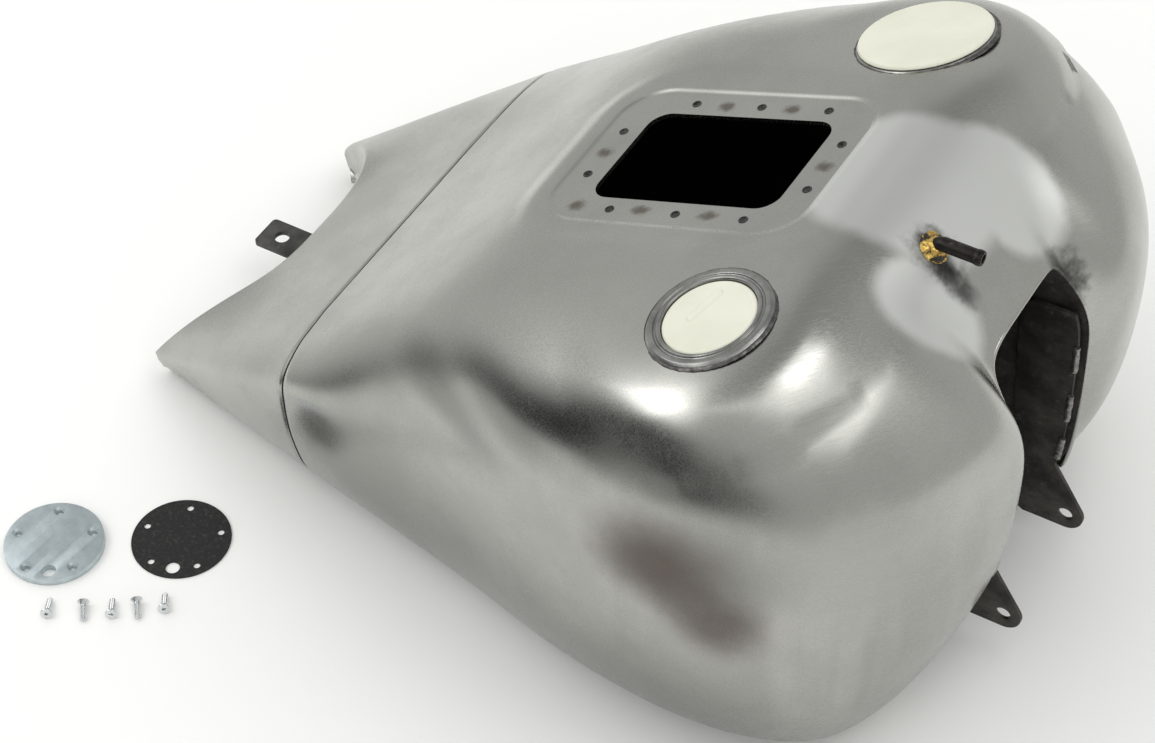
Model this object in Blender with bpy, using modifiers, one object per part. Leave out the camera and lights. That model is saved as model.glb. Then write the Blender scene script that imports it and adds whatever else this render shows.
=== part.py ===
"""Stretched one-piece motorcycle fuel tank in bare steel, with its loose sender cover kit.

The tank stands on a table on its two front lobes and its two tail tips.
+X points to the front of the tank, +Y to its left and +Z up. The origin is on the table,
under the centre of the fuel-pump opening and in the tank's plane of symmetry. Metres.
"""
import math

import bmesh
import bpy
import numpy as np
from mathutils import Matrix, Vector

MM = 0.001

# Sheet metal and the gap left between two pieces that are welded or laid together.
SHEET = 1.6 * MM
GAP = 0.3 * MM

# Fuel-pump opening: a flat flange, tilted nose up with the deck.
PUMP_PITCH = math.radians(20.4)
PUMP_CENTRE = (0.0, 0.0, 283.8 * MM)
PUMP_SHIFT = -5.3 * MM
PUMP_OUTER = (186 * MM, 129 * MM, 28 * MM)
PUMP_INNER = (138 * MM, 88 * MM, 14 * MM)
PUMP_HOLE_PITCH = 50 * MM
PUMP_HOLE_SPREAD = 110 * MM
PUMP_END_SPREAD = 45 * MM
PUMP_END_SPAN = 165 * MM
PUMP_HOLE_R = 2.5 * MM
PUMP_PLATE = 3 * MM

# Two round bungs, mirror images in place: the filler on the right, the gauge cup on the left.
BUNG_X = 71.5 * MM
BUNG_Y = 139.4 * MM
BUNG_Z = 305.5 * MM
BUNG_BACK = math.radians(18)
BUNG_OUT = math.radians(6.5)
NECK_R = 40 * MM
NECK_BORE_R = 29.8 * MM
PLUG_R = 29.3 * MM
NECK_LEDGE = -14.5 * MM
LEDGE_R = 25 * MM
CUP_R = 45.5 * MM
CUP_BORE_R = 41.5 * MM
CUP_DEPTH = 32 * MM
CUP_WALL = 1.8 * MM
SENDER_BORE_R = 20.5 * MM
SENDER_HOLE_R = 1.8 * MM
SENDER_THICK = 5 * MM
CAP_R = 43.8 * MM
BAR_SIZE = (29 * MM, 6 * MM, 2.9 * MM)
BAR_AT = (-7.5 * MM, 8 * MM)
BAR_TURN = math.radians(69)

# Vent elbow: its foot on the deck, right of the centreline, and its level reach forward.
VENT_AT = (160 * MM, -29 * MM)
VENT_R = 4.6 * MM
VENT_WALL = 1.6 * MM
VENT_REACH = 31 * MM
VENT_RISE = 5.5 * MM
VENT_BEND = 7 * MM

# Sender cover kit: five countersunk screws on a 54 mm circle.
COVER_R = 34.15 * MM
COVER_THICK = 4.8 * MM
GASKET_THICK = 1.0 * MM
COVER_PCD_R = 27 * MM
COVER_HOLE_R = 2.35 * MM
COVER_WIRE_R = 4.9 * MM
COVER_WIRE_AT = 25.5 * MM
SCREW_HEAD_R = 4.2 * MM
SCREW_SHANK_R = 2.05 * MM
SCREW_LENGTH = 15 * MM

# Where the loose pieces lie beside the tank: x and y in millimetres, and a turn in degrees.
PLATE_AT = (-356, -286, -96)
GASKET_AT = (-284, -239, -103)
SCREWS_AT = ((-322, -338, 118), (-307, -317, -55), (-284, -317, 124),
             (-277, -298, -52), (-256, -296, 124))

# Tunnel over the frame's backbone, and the brackets welded inside its mouth.
TUNNEL_HALF = 51 * MM
TUNNEL_FRONT_TOP = (206 * MM, 257.5 * MM)
TUNNEL_REAR_TOP = (-328.5 * MM, 36 * MM)
TUNNEL_CORNER = (30 * MM, 30 * MM)
BRACKET_THICK = 3 * MM
EAR_HOLE = (235 * MM, 33 * MM)
EAR_R = 12.5 * MM
EAR_HOLE_R = 5.2 * MM
TAB_HOLE_X = -362 * MM
TAB_TOP = 44.5 * MM
TAB_THICK = 3.5 * MM
TAB_HALF = 13.5 * MM
TAB_HOLE_R = 5.5 * MM
TAB_ENDS = (-378 * MM, -318.6 * MM)

# Nipples through the tunnel's walls for the hose that joins the two lobes.
CROSSOVER_X = 150 * MM
CROSSOVER_Z = 34 * MM
CROSSOVER_R = 5 * MM
CROSSOVER_WALL = 1.4 * MM
CROSSOVER_LENGTH = 16 * MM

# Floor of the lobes: clear of the skin's foot, and swept forward on the inside at the tail.
FLOOR_GAP = 1.5 * MM
TAIL_SWEEP = 45 * MM

# Points along the tail's closing wall, closest together over the tunnel's rounded corner.
PLATE_TURNS = (0, 0.06, 0.12, 0.15, 0.18, 0.21, 0.24, 0.3, 0.36, 0.42, 0.48, 0.52, 0.56, 0.6)

# The skin's sections, rear to front, in millimetres. Each runs from the crest on the
# centreline, over the shoulder to the widest point of the side, and under to the foot:
# crest x z, side x y z, foot x y z, squareness of the shoulder, sweep towards the side.
SECTIONS = np.array([
    (-322, 77.5, -389, 122, 22, -380, 109, 0, 5.1, 3.3),    # open rear edge and tail tips
    (-235, 137, -227, 179, 113, -229, 134, 6, 5.6, 8.0),    # seam of the tail extension
    (-170, 192, -150, 194, 109, -148, 147, 6, 4.8, 6.5),
    (-94, 250, -62, 213, 111, -56, 160, 3, 4.5, 4.3),       # behind the pump opening
    (0, 287, 18, 239, 117, 31, 149, 0, 4.8, 5.0),           # widest part of the lobes
    (85, 318, 172, 224, 115, 166, 129, 0, 6.2, 7.2),        # hump ahead of the pump opening
    (150, 316, 246, 104, 186, 173, 103, 17, 4.3, 7.3),      # nose of the lobe
    (209, 262, 234, 55, 171, 225, 52, 70, 5.0, 15.0),       # front edge and rim of the notch
]) * ([MM] * 8 + [1, 1])
CROWN = 0.25
TAIL_CROWN = 0.7
SEAM_AT = 1
LAST = len(SECTIONS) - 1
SEAM_GAP = 0.004
FOOT_SQUARENESS = 2.2
ROWS_PER_SECTION = 4
SHOULDER_STEPS = 14
UNDER_STEPS = 6


# ---------------------------------------------------------------- scene and helpers

def clear_scene():
    for obj in list(bpy.data.objects):
        bpy.data.objects.remove(obj, do_unlink=True)


clear_scene()
TANK = bpy.data.collections.new("fuel_tank")
CUTTERS = bpy.data.collections.new("cutters")
for group in (TANK, CUTTERS):
    bpy.context.scene.collection.children.link(group)


def material(name, colour, roughness, metallic):
    mat = bpy.data.materials.new(name)
    mat.use_nodes = True
    shader = mat.node_tree.nodes["Principled BSDF"]
    shader.inputs["Base Color"].default_value = (*colour, 1)
    shader.inputs["Roughness"].default_value = roughness
    shader.inputs["Metallic"].default_value = metallic
    return mat


STEEL = material("bare_steel", (0.50, 0.50, 0.47), 0.32, 1.0)
DARK_STEEL = material("dark_steel", (0.07, 0.07, 0.065), 0.5, 0.8)
TURNED_STEEL = material("turned_steel", (0.30, 0.30, 0.29), 0.3, 1.0)
BRASS = material("brazing_brass", (0.72, 0.50, 0.18), 0.4, 1.0)
WHITE_PLASTIC = material("white_plastic", (0.82, 0.82, 0.74), 0.45, 0.0)
ZINC = material("zinc_plate", (0.62, 0.68, 0.70), 0.3, 1.0)
BLACK_FIBRE = material("gasket_fibre", (0.02, 0.02, 0.02), 0.9, 0.0)
RUBBER = material("seal_rubber", (0.03, 0.03, 0.03), 0.7, 0.0)


def place(obj, finish=None, collection=TANK):
    """Links an object, as a part or as a hidden cutter."""
    collection.objects.link(obj)
    if finish:
        obj.data.materials.append(finish)
    if collection is CUTTERS:
        obj.hide_render = True
        obj.display_type = "WIRE"
    return obj


def smooth(obj, angle=35):
    obj.data.shade_smooth()
    obj.data.set_sharp_from_angle(angle=math.radians(angle))
    return obj


def grid_object(name, rows, finish):
    """A surface through rows of points, its normal along (next row) x (next point)."""
    count = len(rows[0])
    verts = [tuple(point) for row in rows for point in row]
    faces = []
    for i in range(len(rows) - 1):
        for j in range(count - 1):
            here = i * count + j
            faces.append((here, here + count, here + count + 1, here + 1))
    mesh = bpy.data.meshes.new(name)
    mesh.from_pydata(verts, [], faces)
    return smooth(place(bpy.data.objects.new(name, mesh), finish))


def mirror(obj):
    mod = obj.modifiers.new("other_half", "MIRROR")
    mod.use_axis = (False, True, False)
    mod.use_clip = True
    mod.merge_threshold = 0.00005


def solidify(obj, inward=True, even=False):
    mod = obj.modifiers.new("sheet", "SOLIDIFY")
    mod.thickness = SHEET
    mod.offset = -1 if inward else 1
    mod.use_even_offset = even


def boolean(obj, cutter, operation="DIFFERENCE"):
    mod = obj.modifiers.new(operation.lower(), "BOOLEAN")
    mod.operation = operation
    mod.object = cutter


def outline_mesh(name, loops, thickness, matrix, finish=None, collection=TANK):
    """A flat plate from closed outlines, its mid-plane at z = 0 of the matrix."""
    curve = bpy.data.curves.new(name, "CURVE")
    curve.dimensions = "2D"
    curve.fill_mode = "BOTH"
    curve.extrude = thickness / 2
    for loop in loops:
        spline = curve.splines.new("POLY")
        spline.points.add(len(loop) - 1)
        for point, (x, y) in zip(spline.points, loop):
            point.co = (x, y, 0, 1)
        spline.use_cyclic_u = True
    source = bpy.data.objects.new(name + "_outline", curve)
    collection.objects.link(source)
    bpy.context.view_layer.update()
    evaluated = source.evaluated_get(bpy.context.evaluated_depsgraph_get())
    mesh = bpy.data.meshes.new_from_object(evaluated)
    bpy.data.objects.remove(source, do_unlink=True)
    weld(mesh)
    mesh.name = name
    mesh.materials.clear()
    obj = place(bpy.data.objects.new(name, mesh), finish, collection)
    obj.matrix_world = matrix
    return obj


def weld(mesh):
    """Joins the loose caps of a converted curve to its walls."""
    bm = bmesh.new()
    bm.from_mesh(mesh)
    bmesh.ops.remove_doubles(bm, verts=bm.verts, dist=0.000005)
    bmesh.ops.recalc_face_normals(bm, faces=bm.faces)
    bm.to_mesh(mesh)
    bm.free()


def circle(radius, count, x=0.0, y=0.0):
    turn = 2 * math.pi / count
    return [(x + radius * math.cos(i * turn), y + radius * math.sin(i * turn))
            for i in range(count)]


def rounded_rectangle(length, width, corner, steps=5):
    points = []
    for quarter, (sx, sy) in enumerate(((1, 1), (-1, 1), (-1, -1), (1, -1))):
        for step in range(steps + 1):
            angle = math.pi / 2 * (quarter + step / steps)
            points.append((sx * (length / 2 - corner) + corner * math.cos(angle),
                           sy * (width / 2 - corner) + corner * math.sin(angle)))
    return points


def turned(name, profile, matrix, finish=None, steps=40, collection=TANK):
    """A body of revolution about the matrix's z axis, from a closed profile of (radius, z)."""
    mesh = bpy.data.meshes.new(name)
    count = len(profile)
    closed = profile[0][0] > 0 and profile[-1][0] > 0
    edges = [(i, i + 1) for i in range(count - 1)] + ([(count - 1, 0)] if closed else [])
    mesh.from_pydata([(r, 0, z) for r, z in profile], edges, [])
    obj = place(bpy.data.objects.new(name, mesh), finish, collection)
    obj.matrix_world = matrix
    mod = obj.modifiers.new("turned", "SCREW")
    mod.steps = mod.render_steps = steps
    mod.use_merge_vertices = True
    mod.merge_threshold = 0.00001
    mod.use_smooth_shade = True
    return obj


def tube(name, points, radius, finish, sides_resolution=2):
    """A bent tube or rod through the points, with filled ends."""
    curve = bpy.data.curves.new(name, "CURVE")
    curve.dimensions = "3D"
    curve.bevel_depth = radius
    curve.bevel_resolution = sides_resolution
    curve.use_fill_caps = True
    spline = curve.splines.new("POLY")
    spline.points.add(len(points) - 1)
    for point, position in zip(spline.points, points):
        point.co = (*position, 1)
    source = bpy.data.objects.new(name + "_path", curve)
    TANK.objects.link(source)
    bpy.context.view_layer.update()
    evaluated = source.evaluated_get(bpy.context.evaluated_depsgraph_get())
    mesh = bpy.data.meshes.new_from_object(evaluated)
    bpy.data.objects.remove(source, do_unlink=True)
    weld(mesh)
    mesh.materials.clear()
    return smooth(place(bpy.data.objects.new(name, mesh), finish))


# ---------------------------------------------------------------- the skin's shape

def section_values(at):
    """Natural cubic spline through the rows of SECTIONS, at row position `at`."""
    n = len(SECTIONS)
    system = np.eye(n)
    right = np.zeros_like(SECTIONS)
    for i in range(1, n - 1):
        system[i, i - 1:i + 2] = (1, 4, 1)
        right[i] = 6 * (SECTIONS[i + 1] - 2 * SECTIONS[i] + SECTIONS[i - 1])
    bend = np.linalg.solve(system, right)
    i = min(int(at), n - 2)
    t = at - i
    u = 1 - t
    return (u * SECTIONS[i] + t * SECTIONS[i + 1]
            + ((u ** 3 - u) * bend[i] + (t ** 3 - t) * bend[i + 1]) / 6)


def rounded_quarter(turn, squareness):
    """Point on a unit superellipse, from (0, 1) at turn 0 to (1, 0) at turn 1."""
    angle = turn * math.pi / 2
    s, c = math.sin(angle), math.cos(angle)
    reach = (s ** squareness + c ** squareness) ** (-1 / squareness)
    return s * reach, c * reach


def skin_point(at, turn):
    """Point of the left outer skin: turn 0 is the crest, 1 the widest point, 2 the foot."""
    crest_x, crest_z, side_x, side_y, side_z, foot_x, foot_y, foot_z, square, sweep = section_values(at)
    if turn <= 1:
        across, up = rounded_quarter(turn, square)
        crown = CROWN + TAIL_CROWN * max(1 - at, 0)
        return (crest_x + (side_x - crest_x) * across ** sweep,
                side_y * across, side_z + (crest_z - side_z) * up ** (square * crown))
    down, across = rounded_quarter(turn - 1, FOOT_SQUARENESS)
    return (foot_x + (side_x - foot_x) * across,
            foot_y + (side_y - foot_y) * across, side_z - (side_z - foot_z) * down)


TURNS = ([i / SHOULDER_STEPS for i in range(SHOULDER_STEPS + 1)]
         + [1 + i / UNDER_STEPS for i in range(1, UNDER_STEPS + 1)])


def skin(name, start, end):
    count = round((end - start) * ROWS_PER_SECTION)
    stations = np.linspace(start, end, count + 1)
    obj = grid_object(name, [[skin_point(at, turn) for turn in TURNS] for at in stations], STEEL)
    mirror(obj)
    solidify(obj, even=True)
    return obj


def bisect(rises, low, high):
    """The place between low and high up to which `rises` stays true."""
    for _ in range(40):
        middle = (low + high) / 2
        low, high = (middle, high) if rises(middle) else (low, middle)
    return low


def deck_frame(x, y):
    """Matrix on the deck above (x, y), its z axis along the deck's normal."""
    def turn_at(at):
        return bisect(lambda turn: skin_point(at, turn)[1] < abs(y), 0, 1)

    at = bisect(lambda at: skin_point(at, turn_at(at))[0] < x, SEAM_AT, LAST)
    turn = turn_at(at)
    side = 1 if y >= 0 else -1
    here, ahead, beside = (Vector(point) for point in
                           (skin_point(at, turn), skin_point(at + 0.01, turn), skin_point(at, turn + 0.01)))
    along, across = ahead - here, beside - here
    for vector in (here, along, across):
        vector.y *= side
    up = along.cross(across).normalized() * side
    forward = (along - along.dot(up) * up).normalized()
    turned_axes = Matrix((forward, up.cross(forward), up)).transposed().to_4x4()
    return Matrix.Translation(here) @ turned_axes


# ---------------------------------------------------------------- welded tank

def pump_matrix(height=0.0):
    return (Matrix.Translation(PUMP_CENTRE) @ Matrix.Rotation(-PUMP_PITCH, 4, "Y")
            @ Matrix.Translation((PUMP_SHIFT, 0, height)))


def pump_holes():
    sides = [(i * PUMP_HOLE_PITCH - PUMP_SHIFT, s * PUMP_HOLE_SPREAD / 2)
             for i in (-1, 0, 1) for s in (-1, 1)]
    ends = [(s * PUMP_END_SPAN / 2, t * PUMP_END_SPREAD / 2) for s in (-1, 1) for t in (-1, 1)]
    return sides + ends


def pump_flange():
    loops = [rounded_rectangle(*PUMP_OUTER), rounded_rectangle(*PUMP_INNER)]
    loops += [circle(PUMP_HOLE_R, 10, x, y) for x, y in pump_holes()]
    return outline_mesh("pump_flange", loops, PUMP_PLATE, pump_matrix(-PUMP_PLATE / 2), STEEL)


def bung_matrix(side):
    """Frame of a bung: side +1 is the left one, -1 the right one; z points out of the tank."""
    return (Matrix.Translation((BUNG_X, side * BUNG_Y, BUNG_Z))
            @ Matrix.Rotation(-BUNG_BACK, 4, "Y") @ Matrix.Rotation(-side * BUNG_OUT, 4, "X"))


def cylinder_cutter(name, radius, half_length, matrix, steps=40):
    profile = [(0, half_length), (radius, half_length), (radius, -half_length), (0, -half_length)]
    return turned(name, profile, matrix, None, steps, CUTTERS)


def top_skin():
    body = skin("top_skin", SEAM_AT + SEAM_GAP, LAST)
    length, width, corner = PUMP_OUTER
    grow = 2 * GAP
    hole = outline_mesh("pump_cut", [rounded_rectangle(length + grow, width + grow, corner + GAP)],
                        40 * MM, pump_matrix(), None, CUTTERS)
    boolean(body, hole)
    for side, radius in ((-1, NECK_R), (1, CUP_R)):
        boolean(body, cylinder_cutter("bung_cut", radius + GAP, 30 * MM, bung_matrix(side)))
    vent = Matrix.Translation(deck_frame(*VENT_AT).translation)
    boolean(body, cylinder_cutter("vent_cut", VENT_R + 0.6 * MM, 8 * MM, vent, 16))
    return body


# Filler side: the plug screws into the neck and presses a seal ring onto the neck's inner ledge.
def filler_neck():
    collar_r = NECK_BORE_R + 3 * MM
    rim, shoulder, ledge, bottom = 3 * MM, -8 * MM, NECK_LEDGE, NECK_LEDGE - 2.5 * MM
    profile = [(NECK_R - 1.5 * MM, rim), (NECK_R, rim - 1.5 * MM), (NECK_R, shoulder),
               (collar_r, shoulder - 2 * MM), (collar_r, bottom), (LEDGE_R, bottom), (LEDGE_R, ledge),
               (NECK_BORE_R, ledge), (NECK_BORE_R, rim - 1.5 * MM), (NECK_BORE_R + 1.5 * MM, rim)]
    return turned("filler_neck", profile, bung_matrix(-1), TURNED_STEEL)


def filler_plug():
    """A cup-shaped plug with a raised border, and a grip bar to one side of its sunk face."""
    face, border, end = 1.2 * MM, 2.2 * MM, -11.6 * MM
    inner_r = PLUG_R - 3 * MM
    profile = [(0, face), (PLUG_R - 3.5 * MM, face), (PLUG_R - 2.8 * MM, border), (PLUG_R - 0.6 * MM, border),
               (PLUG_R, border - 0.6 * MM), (PLUG_R, end), (inner_r, end), (inner_r, -2 * MM), (0, -2 * MM)]
    plug = turned("filler_plug", profile, bung_matrix(-1), WHITE_PLASTIC)
    across = bung_matrix(-1) @ Matrix.Translation((*BAR_AT, 1 * MM)) @ Matrix.Rotation(BAR_TURN, 4, "Z")
    bar = outline_mesh("grip_bar", [rounded_rectangle(*BAR_SIZE, 3)], 5 * MM, across, None, CUTTERS)
    boolean(plug, bar, "UNION")
    return plug


def filler_plug_seal():
    top, low = NECK_LEDGE + 2.5 * MM, NECK_LEDGE + GAP
    outer_r, inner_r = PLUG_R - 0.1 * MM, LEDGE_R + 0.3 * MM
    profile = [(outer_r, top), (outer_r, low), (inner_r, low), (inner_r, top)]
    return turned("filler_plug_seal", profile, bung_matrix(-1), RUBBER)


# Gauge side: a deep cup with the sender's flange at its bottom, under a push-on cap.
def gauge_cup():
    wall_r, seat_r = CUP_BORE_R + CUP_WALL, COVER_R + 1 * MM
    rim, shoulder, floor = 1.6 * MM, -4 * MM, -CUP_DEPTH
    profile = [(CUP_R - 1 * MM, rim), (CUP_R, rim - 1 * MM), (CUP_R, shoulder), (wall_r, shoulder - 2 * MM),
               (wall_r, floor - CUP_WALL), (seat_r, floor - CUP_WALL), (seat_r, floor), (CUP_BORE_R, floor),
               (CUP_BORE_R, rim)]
    return turned("gauge_cup", profile, bung_matrix(1), TURNED_STEEL)


def sender_flange():
    loops = [circle(COVER_R + 0.7 * MM, 40), circle(SENDER_BORE_R, 32)]
    loops += [circle(SENDER_HOLE_R, 8, *at) for at in cover_holes()]
    middle = 1 * MM - CUP_DEPTH - SENDER_THICK / 2
    matrix = bung_matrix(1) @ Matrix.Translation((0, 0, middle))
    return outline_mesh("sender_flange", loops, SENDER_THICK, matrix, TURNED_STEEL)


def gauge_cap():
    """A shallow disc that overhangs the cup's rim, with a skirt that grips inside the cup."""
    low, high, end = 1.9 * MM, 5.3 * MM, -9 * MM
    under = high - 2 * MM
    skirt = CUP_BORE_R - 0.4 * MM
    inner = skirt - 1.8 * MM
    profile = [(0, high), (CAP_R - 3 * MM, high), (CAP_R - 0.8 * MM, high - 1.2 * MM),
               (CAP_R, low + 0.8 * MM), (CAP_R - 0.2 * MM, low), (skirt, low), (skirt - 0.3 * MM, end),
               (inner, end), (inner, under), (0, under)]
    return turned("gauge_cap", profile, bung_matrix(1), WHITE_PLASTIC)


# Vent.
def vent_path(below, reach):
    """Centreline of the vent's elbow: up out of the deck, then level and forward."""
    base = deck_frame(*VENT_AT).translation
    path = [base + Vector((0, 0, -below))]
    for step in range(7):
        angle = math.pi / 2 * step / 6
        path.append(base + Vector((VENT_BEND - VENT_BEND * math.cos(angle), 0,
                                   VENT_RISE - VENT_BEND + VENT_BEND * math.sin(angle))))
    path.append(base + Vector((reach, 0, VENT_RISE)))
    return path


def cutting(obj):
    """Turns a part into a hidden cutter."""
    TANK.objects.unlink(obj)
    return place(obj, None, CUTTERS)


def vent_tube():
    """A short elbow out of the deck that lies forward above it, open at its end."""
    pipe = tube("vent_tube", vent_path(9 * MM, VENT_REACH), VENT_R, DARK_STEEL)
    bore = tube("vent_bore", vent_path(12 * MM, VENT_REACH + 3 * MM), VENT_R - VENT_WALL, None, 1)
    boolean(pipe, cutting(bore))
    return pipe


def vent_braze():
    """The collar of brazing brass around the foot of the vent tube."""
    low, spread = 0.8 * MM, VENT_R + 5.5 * MM
    profile = [(1 * MM, 4 * MM), (VENT_R + 2.4 * MM, 3.2 * MM), (spread, low + 0.6 * MM),
               (spread, low), (1 * MM, low)]
    collar = turned("vent_braze", profile, deck_frame(*VENT_AT), BRASS, 20)
    clear = tube("vent_clear", vent_path(12 * MM, VENT_REACH + 3 * MM), VENT_R + GAP, None)
    boolean(collar, cutting(clear))
    return collar


# Underside.
def tunnel_top(x):
    (front_x, front_z), (rear_x, rear_z) = TUNNEL_FRONT_TOP, TUNNEL_REAR_TOP
    return rear_z + (front_z - rear_z) * (x - rear_x) / (front_x - rear_x)


def tunnel_corner(x, foot_z):
    return min(TUNNEL_CORNER[1], 0.6 * (tunnel_top(x) - foot_z))


def tunnel_outline(x, foot_z):
    """Half of the tunnel's outer section at x, as (y, z) from the roof's centre to its foot."""
    top = tunnel_top(x)
    wide, tall = TUNNEL_CORNER[0], tunnel_corner(x, foot_z)
    points = [(0, top)]
    for step in range(7):
        angle = math.pi / 2 * step / 6
        points.append((TUNNEL_HALF - wide + wide * math.sin(angle), top - tall + tall * math.cos(angle)))
    points.append((TUNNEL_HALF, (top - tall + foot_z) / 2))
    points.append((TUNNEL_HALF, foot_z))
    return points


def rim_x(z):
    """How far forward the rim of the notch reaches at height z."""
    return skin_point(LAST, bisect(lambda turn: skin_point(LAST, turn)[2] > z, 0, 2))[0]


def tunnel():
    rows = []
    steps = 14
    for step in range(steps + 1):
        share = step / steps
        x = TUNNEL_REAR_TOP[0] + (TUNNEL_FRONT_TOP[0] - TUNNEL_REAR_TOP[0]) * share
        foot = tunnel_foot(x)
        outline = tunnel_outline(x, foot)
        if step == steps:
            rows.append([(rim_x(z) - 3 * MM, y, z) for y, z in outline])
        else:
            rows.append([(x, y, z) for y, z in outline])
    obj = grid_object("tunnel", rows, DARK_STEEL)
    mirror(obj)
    solidify(obj, even=True)
    sideways = Matrix.Translation((CROSSOVER_X, 0, CROSSOVER_Z)) @ Matrix.Rotation(math.pi / 2, 4, "X")
    boolean(obj, cylinder_cutter("crossover_cut", CROSSOVER_R + GAP, 70 * MM, sideways, 16))
    return obj


def tunnel_foot(x):
    """Height of the tank's floor along the tunnel at x."""
    stations = np.linspace(0, LAST, 60)
    feet = [section_values(at) for at in stations]
    return float(np.interp(x, [floor_inner_x(at) for at in stations], [row[7] for row in feet]))


def floor_inner_x(at):
    """The floor's inner edge runs beside its foot, but ends further forward at the tail."""
    return section_values(at)[5] + TAIL_SWEEP * max(0, 1 - at) ** 2


def floor_pan(side):
    """The bottom of one lobe, from the tunnel's wall out to the foot of the skin."""
    rows = []
    for at in np.linspace(0.03, LAST - 0.3, 20):
        values = section_values(at)
        outer, inner = values[6] - FLOOR_GAP, TUNNEL_HALF + FLOOR_GAP
        shift = floor_inner_x(at) - values[5]
        row = []
        for share in (0, 0.25, 0.5, 0.75, 1):
            y = inner + (outer - inner) * share
            row.append((values[5] + shift * (1 - (y / outer) ** 3.2), side * y, values[7]))
        rows.append(row if side > 0 else row[::-1])
    name = "floor_pan_left" if side > 0 else "floor_pan_right"
    obj = grid_object(name, rows, STEEL)
    solidify(obj, inward=False)
    return obj


def tail_plate():
    """The closing wall across the tail, set in a little from its swept rear edge."""
    inset, under, lift = 4 * MM, 7 * MM, 0.8 * MM
    edge = [skin_point(0, turn) for turn in PLATE_TURNS]
    top = []
    for i, (x, y, z) in enumerate(edge):
        before, after = edge[max(i - 1, 0)], edge[min(i + 1, len(edge) - 1)]
        along = Vector((after[1] - before[1], after[2] - before[2])).normalized()
        top.append((x + inset, y + along.y * under, z - along.x * under))
    xs, ys, zs = zip(*top)
    step_in, step_out = TUNNEL_HALF + 0.5 * MM, TUNNEL_HALF + 1 * MM
    top += [(float(np.interp(y, ys, xs)), y, float(np.interp(y, ys, zs))) for y in (step_in, step_out)]
    top.sort(key=lambda point: point[1])
    foot = tunnel_foot(TUNNEL_REAR_TOP[0])
    roof_y, roof_z = zip(*tunnel_outline(edge[0][0] + inset + SHEET, foot)[:8])
    bottom = []
    for x, y, _ in top:
        over_tunnel = y < step_out - 0.1 * MM
        low = float(np.interp(y, roof_y, roof_z)) + lift if over_tunnel else foot + SHEET + 1.2 * MM
        bottom.append((x, y, low))
    obj = grid_object("tail_plate", [bottom, top], STEEL)
    mirror(obj)
    solidify(obj)
    return obj


def crossover(side):
    """A nipple through the tunnel's wall for the hose that joins the two lobes."""
    name = "crossover_left" if side > 0 else "crossover_right"
    profile = [(CROSSOVER_R, CROSSOVER_LENGTH), (CROSSOVER_R, 0), (CROSSOVER_R - CROSSOVER_WALL, 0),
               (CROSSOVER_R - CROSSOVER_WALL, CROSSOVER_LENGTH)]
    matrix = (Matrix.Translation((CROSSOVER_X, side * (TUNNEL_HALF + 3 * MM), CROSSOVER_Z))
              @ Matrix.Rotation(side * math.pi / 2, 4, "X"))
    return turned(name, profile, matrix, TURNED_STEEL, 16)


def front_bracket(side):
    """Long plate inside the notch that ends in the front mounting ear."""
    hole_x, hole_z = EAR_HOLE
    top = 216 * MM
    front = [(rim_x(z) - 5 * MM, z) for z in (top, 195 * MM, 165 * MM, 130 * MM, 100 * MM, 76 * MM)]
    ear = [(hole_x + EAR_R * math.cos(a), hole_z + EAR_R * math.sin(a))
           for a in np.radians([35, 0, -30, -60, -90])]
    back = [(205 * MM, hole_z - EAR_R), (200 * MM, 24 * MM), (194 * MM, 75 * MM), (190 * MM, 150 * MM),
            (188 * MM, top - 8 * MM), (196 * MM, top)]
    loops = [front + ear + back, circle(EAR_HOLE_R, 16, hole_x, hole_z)]
    middle = side * (TUNNEL_HALF - SHEET - GAP - BRACKET_THICK / 2)
    matrix = Matrix.Translation((0, middle, 0)) @ Matrix.Rotation(math.pi / 2, 4, "X")
    name = "front_bracket_left" if side > 0 else "front_bracket_right"
    return outline_mesh(name, loops, BRACKET_THICK, matrix, DARK_STEEL)


def rear_tab():
    end, start = TAB_ENDS
    length = start - end
    loops = [[(x - length / 2, y) for x, y in rounded_rectangle(length, 2 * TAB_HALF, 3 * MM, 3)],
             circle(TAB_HOLE_R, 16, TAB_HOLE_X - start, 0)]
    matrix = Matrix.Translation((start, 0, TAB_TOP - TAB_THICK / 2))
    return outline_mesh("rear_tab", loops, TAB_THICK, matrix, DARK_STEEL)


# ---------------------------------------------------------------- loose cover kit

def cover_holes():
    return circle(COVER_PCD_R, 5)


def cover_loops():
    """Round cover with five screw holes, and one larger hole between two of them."""
    between = math.pi / 5
    wire = (COVER_WIRE_AT * math.cos(between), COVER_WIRE_AT * math.sin(between))
    loops = [circle(COVER_R, 48), circle(COVER_WIRE_R, 14, *wire)]
    return loops + [circle(COVER_HOLE_R, 10, *at) for at in cover_holes()]


def lying(x, y, z, turn):
    return Matrix.Translation((x * MM, y * MM, z)) @ Matrix.Rotation(math.radians(turn), 4, "Z")


def cover_screw(number, x, y, turn):
    """Countersunk screw lying on its head's rim and its tip; `turn` is where the tip points."""
    head, shank, length, rim = SCREW_HEAD_R, SCREW_SHANK_R, SCREW_LENGTH, 0.4 * MM
    profile = [(0, 0), (head - 0.3 * MM, 0), (head, -rim), (shank, -3 * MM), (shank, 1 * MM - length),
               (shank - 0.8 * MM, -length), (0, -length)]
    dip = math.atan2(head - shank, length - rim - 1 * MM)
    height = head * math.cos(dip) + rim * math.sin(dip) + 0.05 * MM
    matrix = lying(x, y, height, turn) @ Matrix.Rotation(dip - math.pi / 2, 4, "Y")
    return turned(f"cover_screw_{number}", profile, matrix, ZINC, 14)


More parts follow.
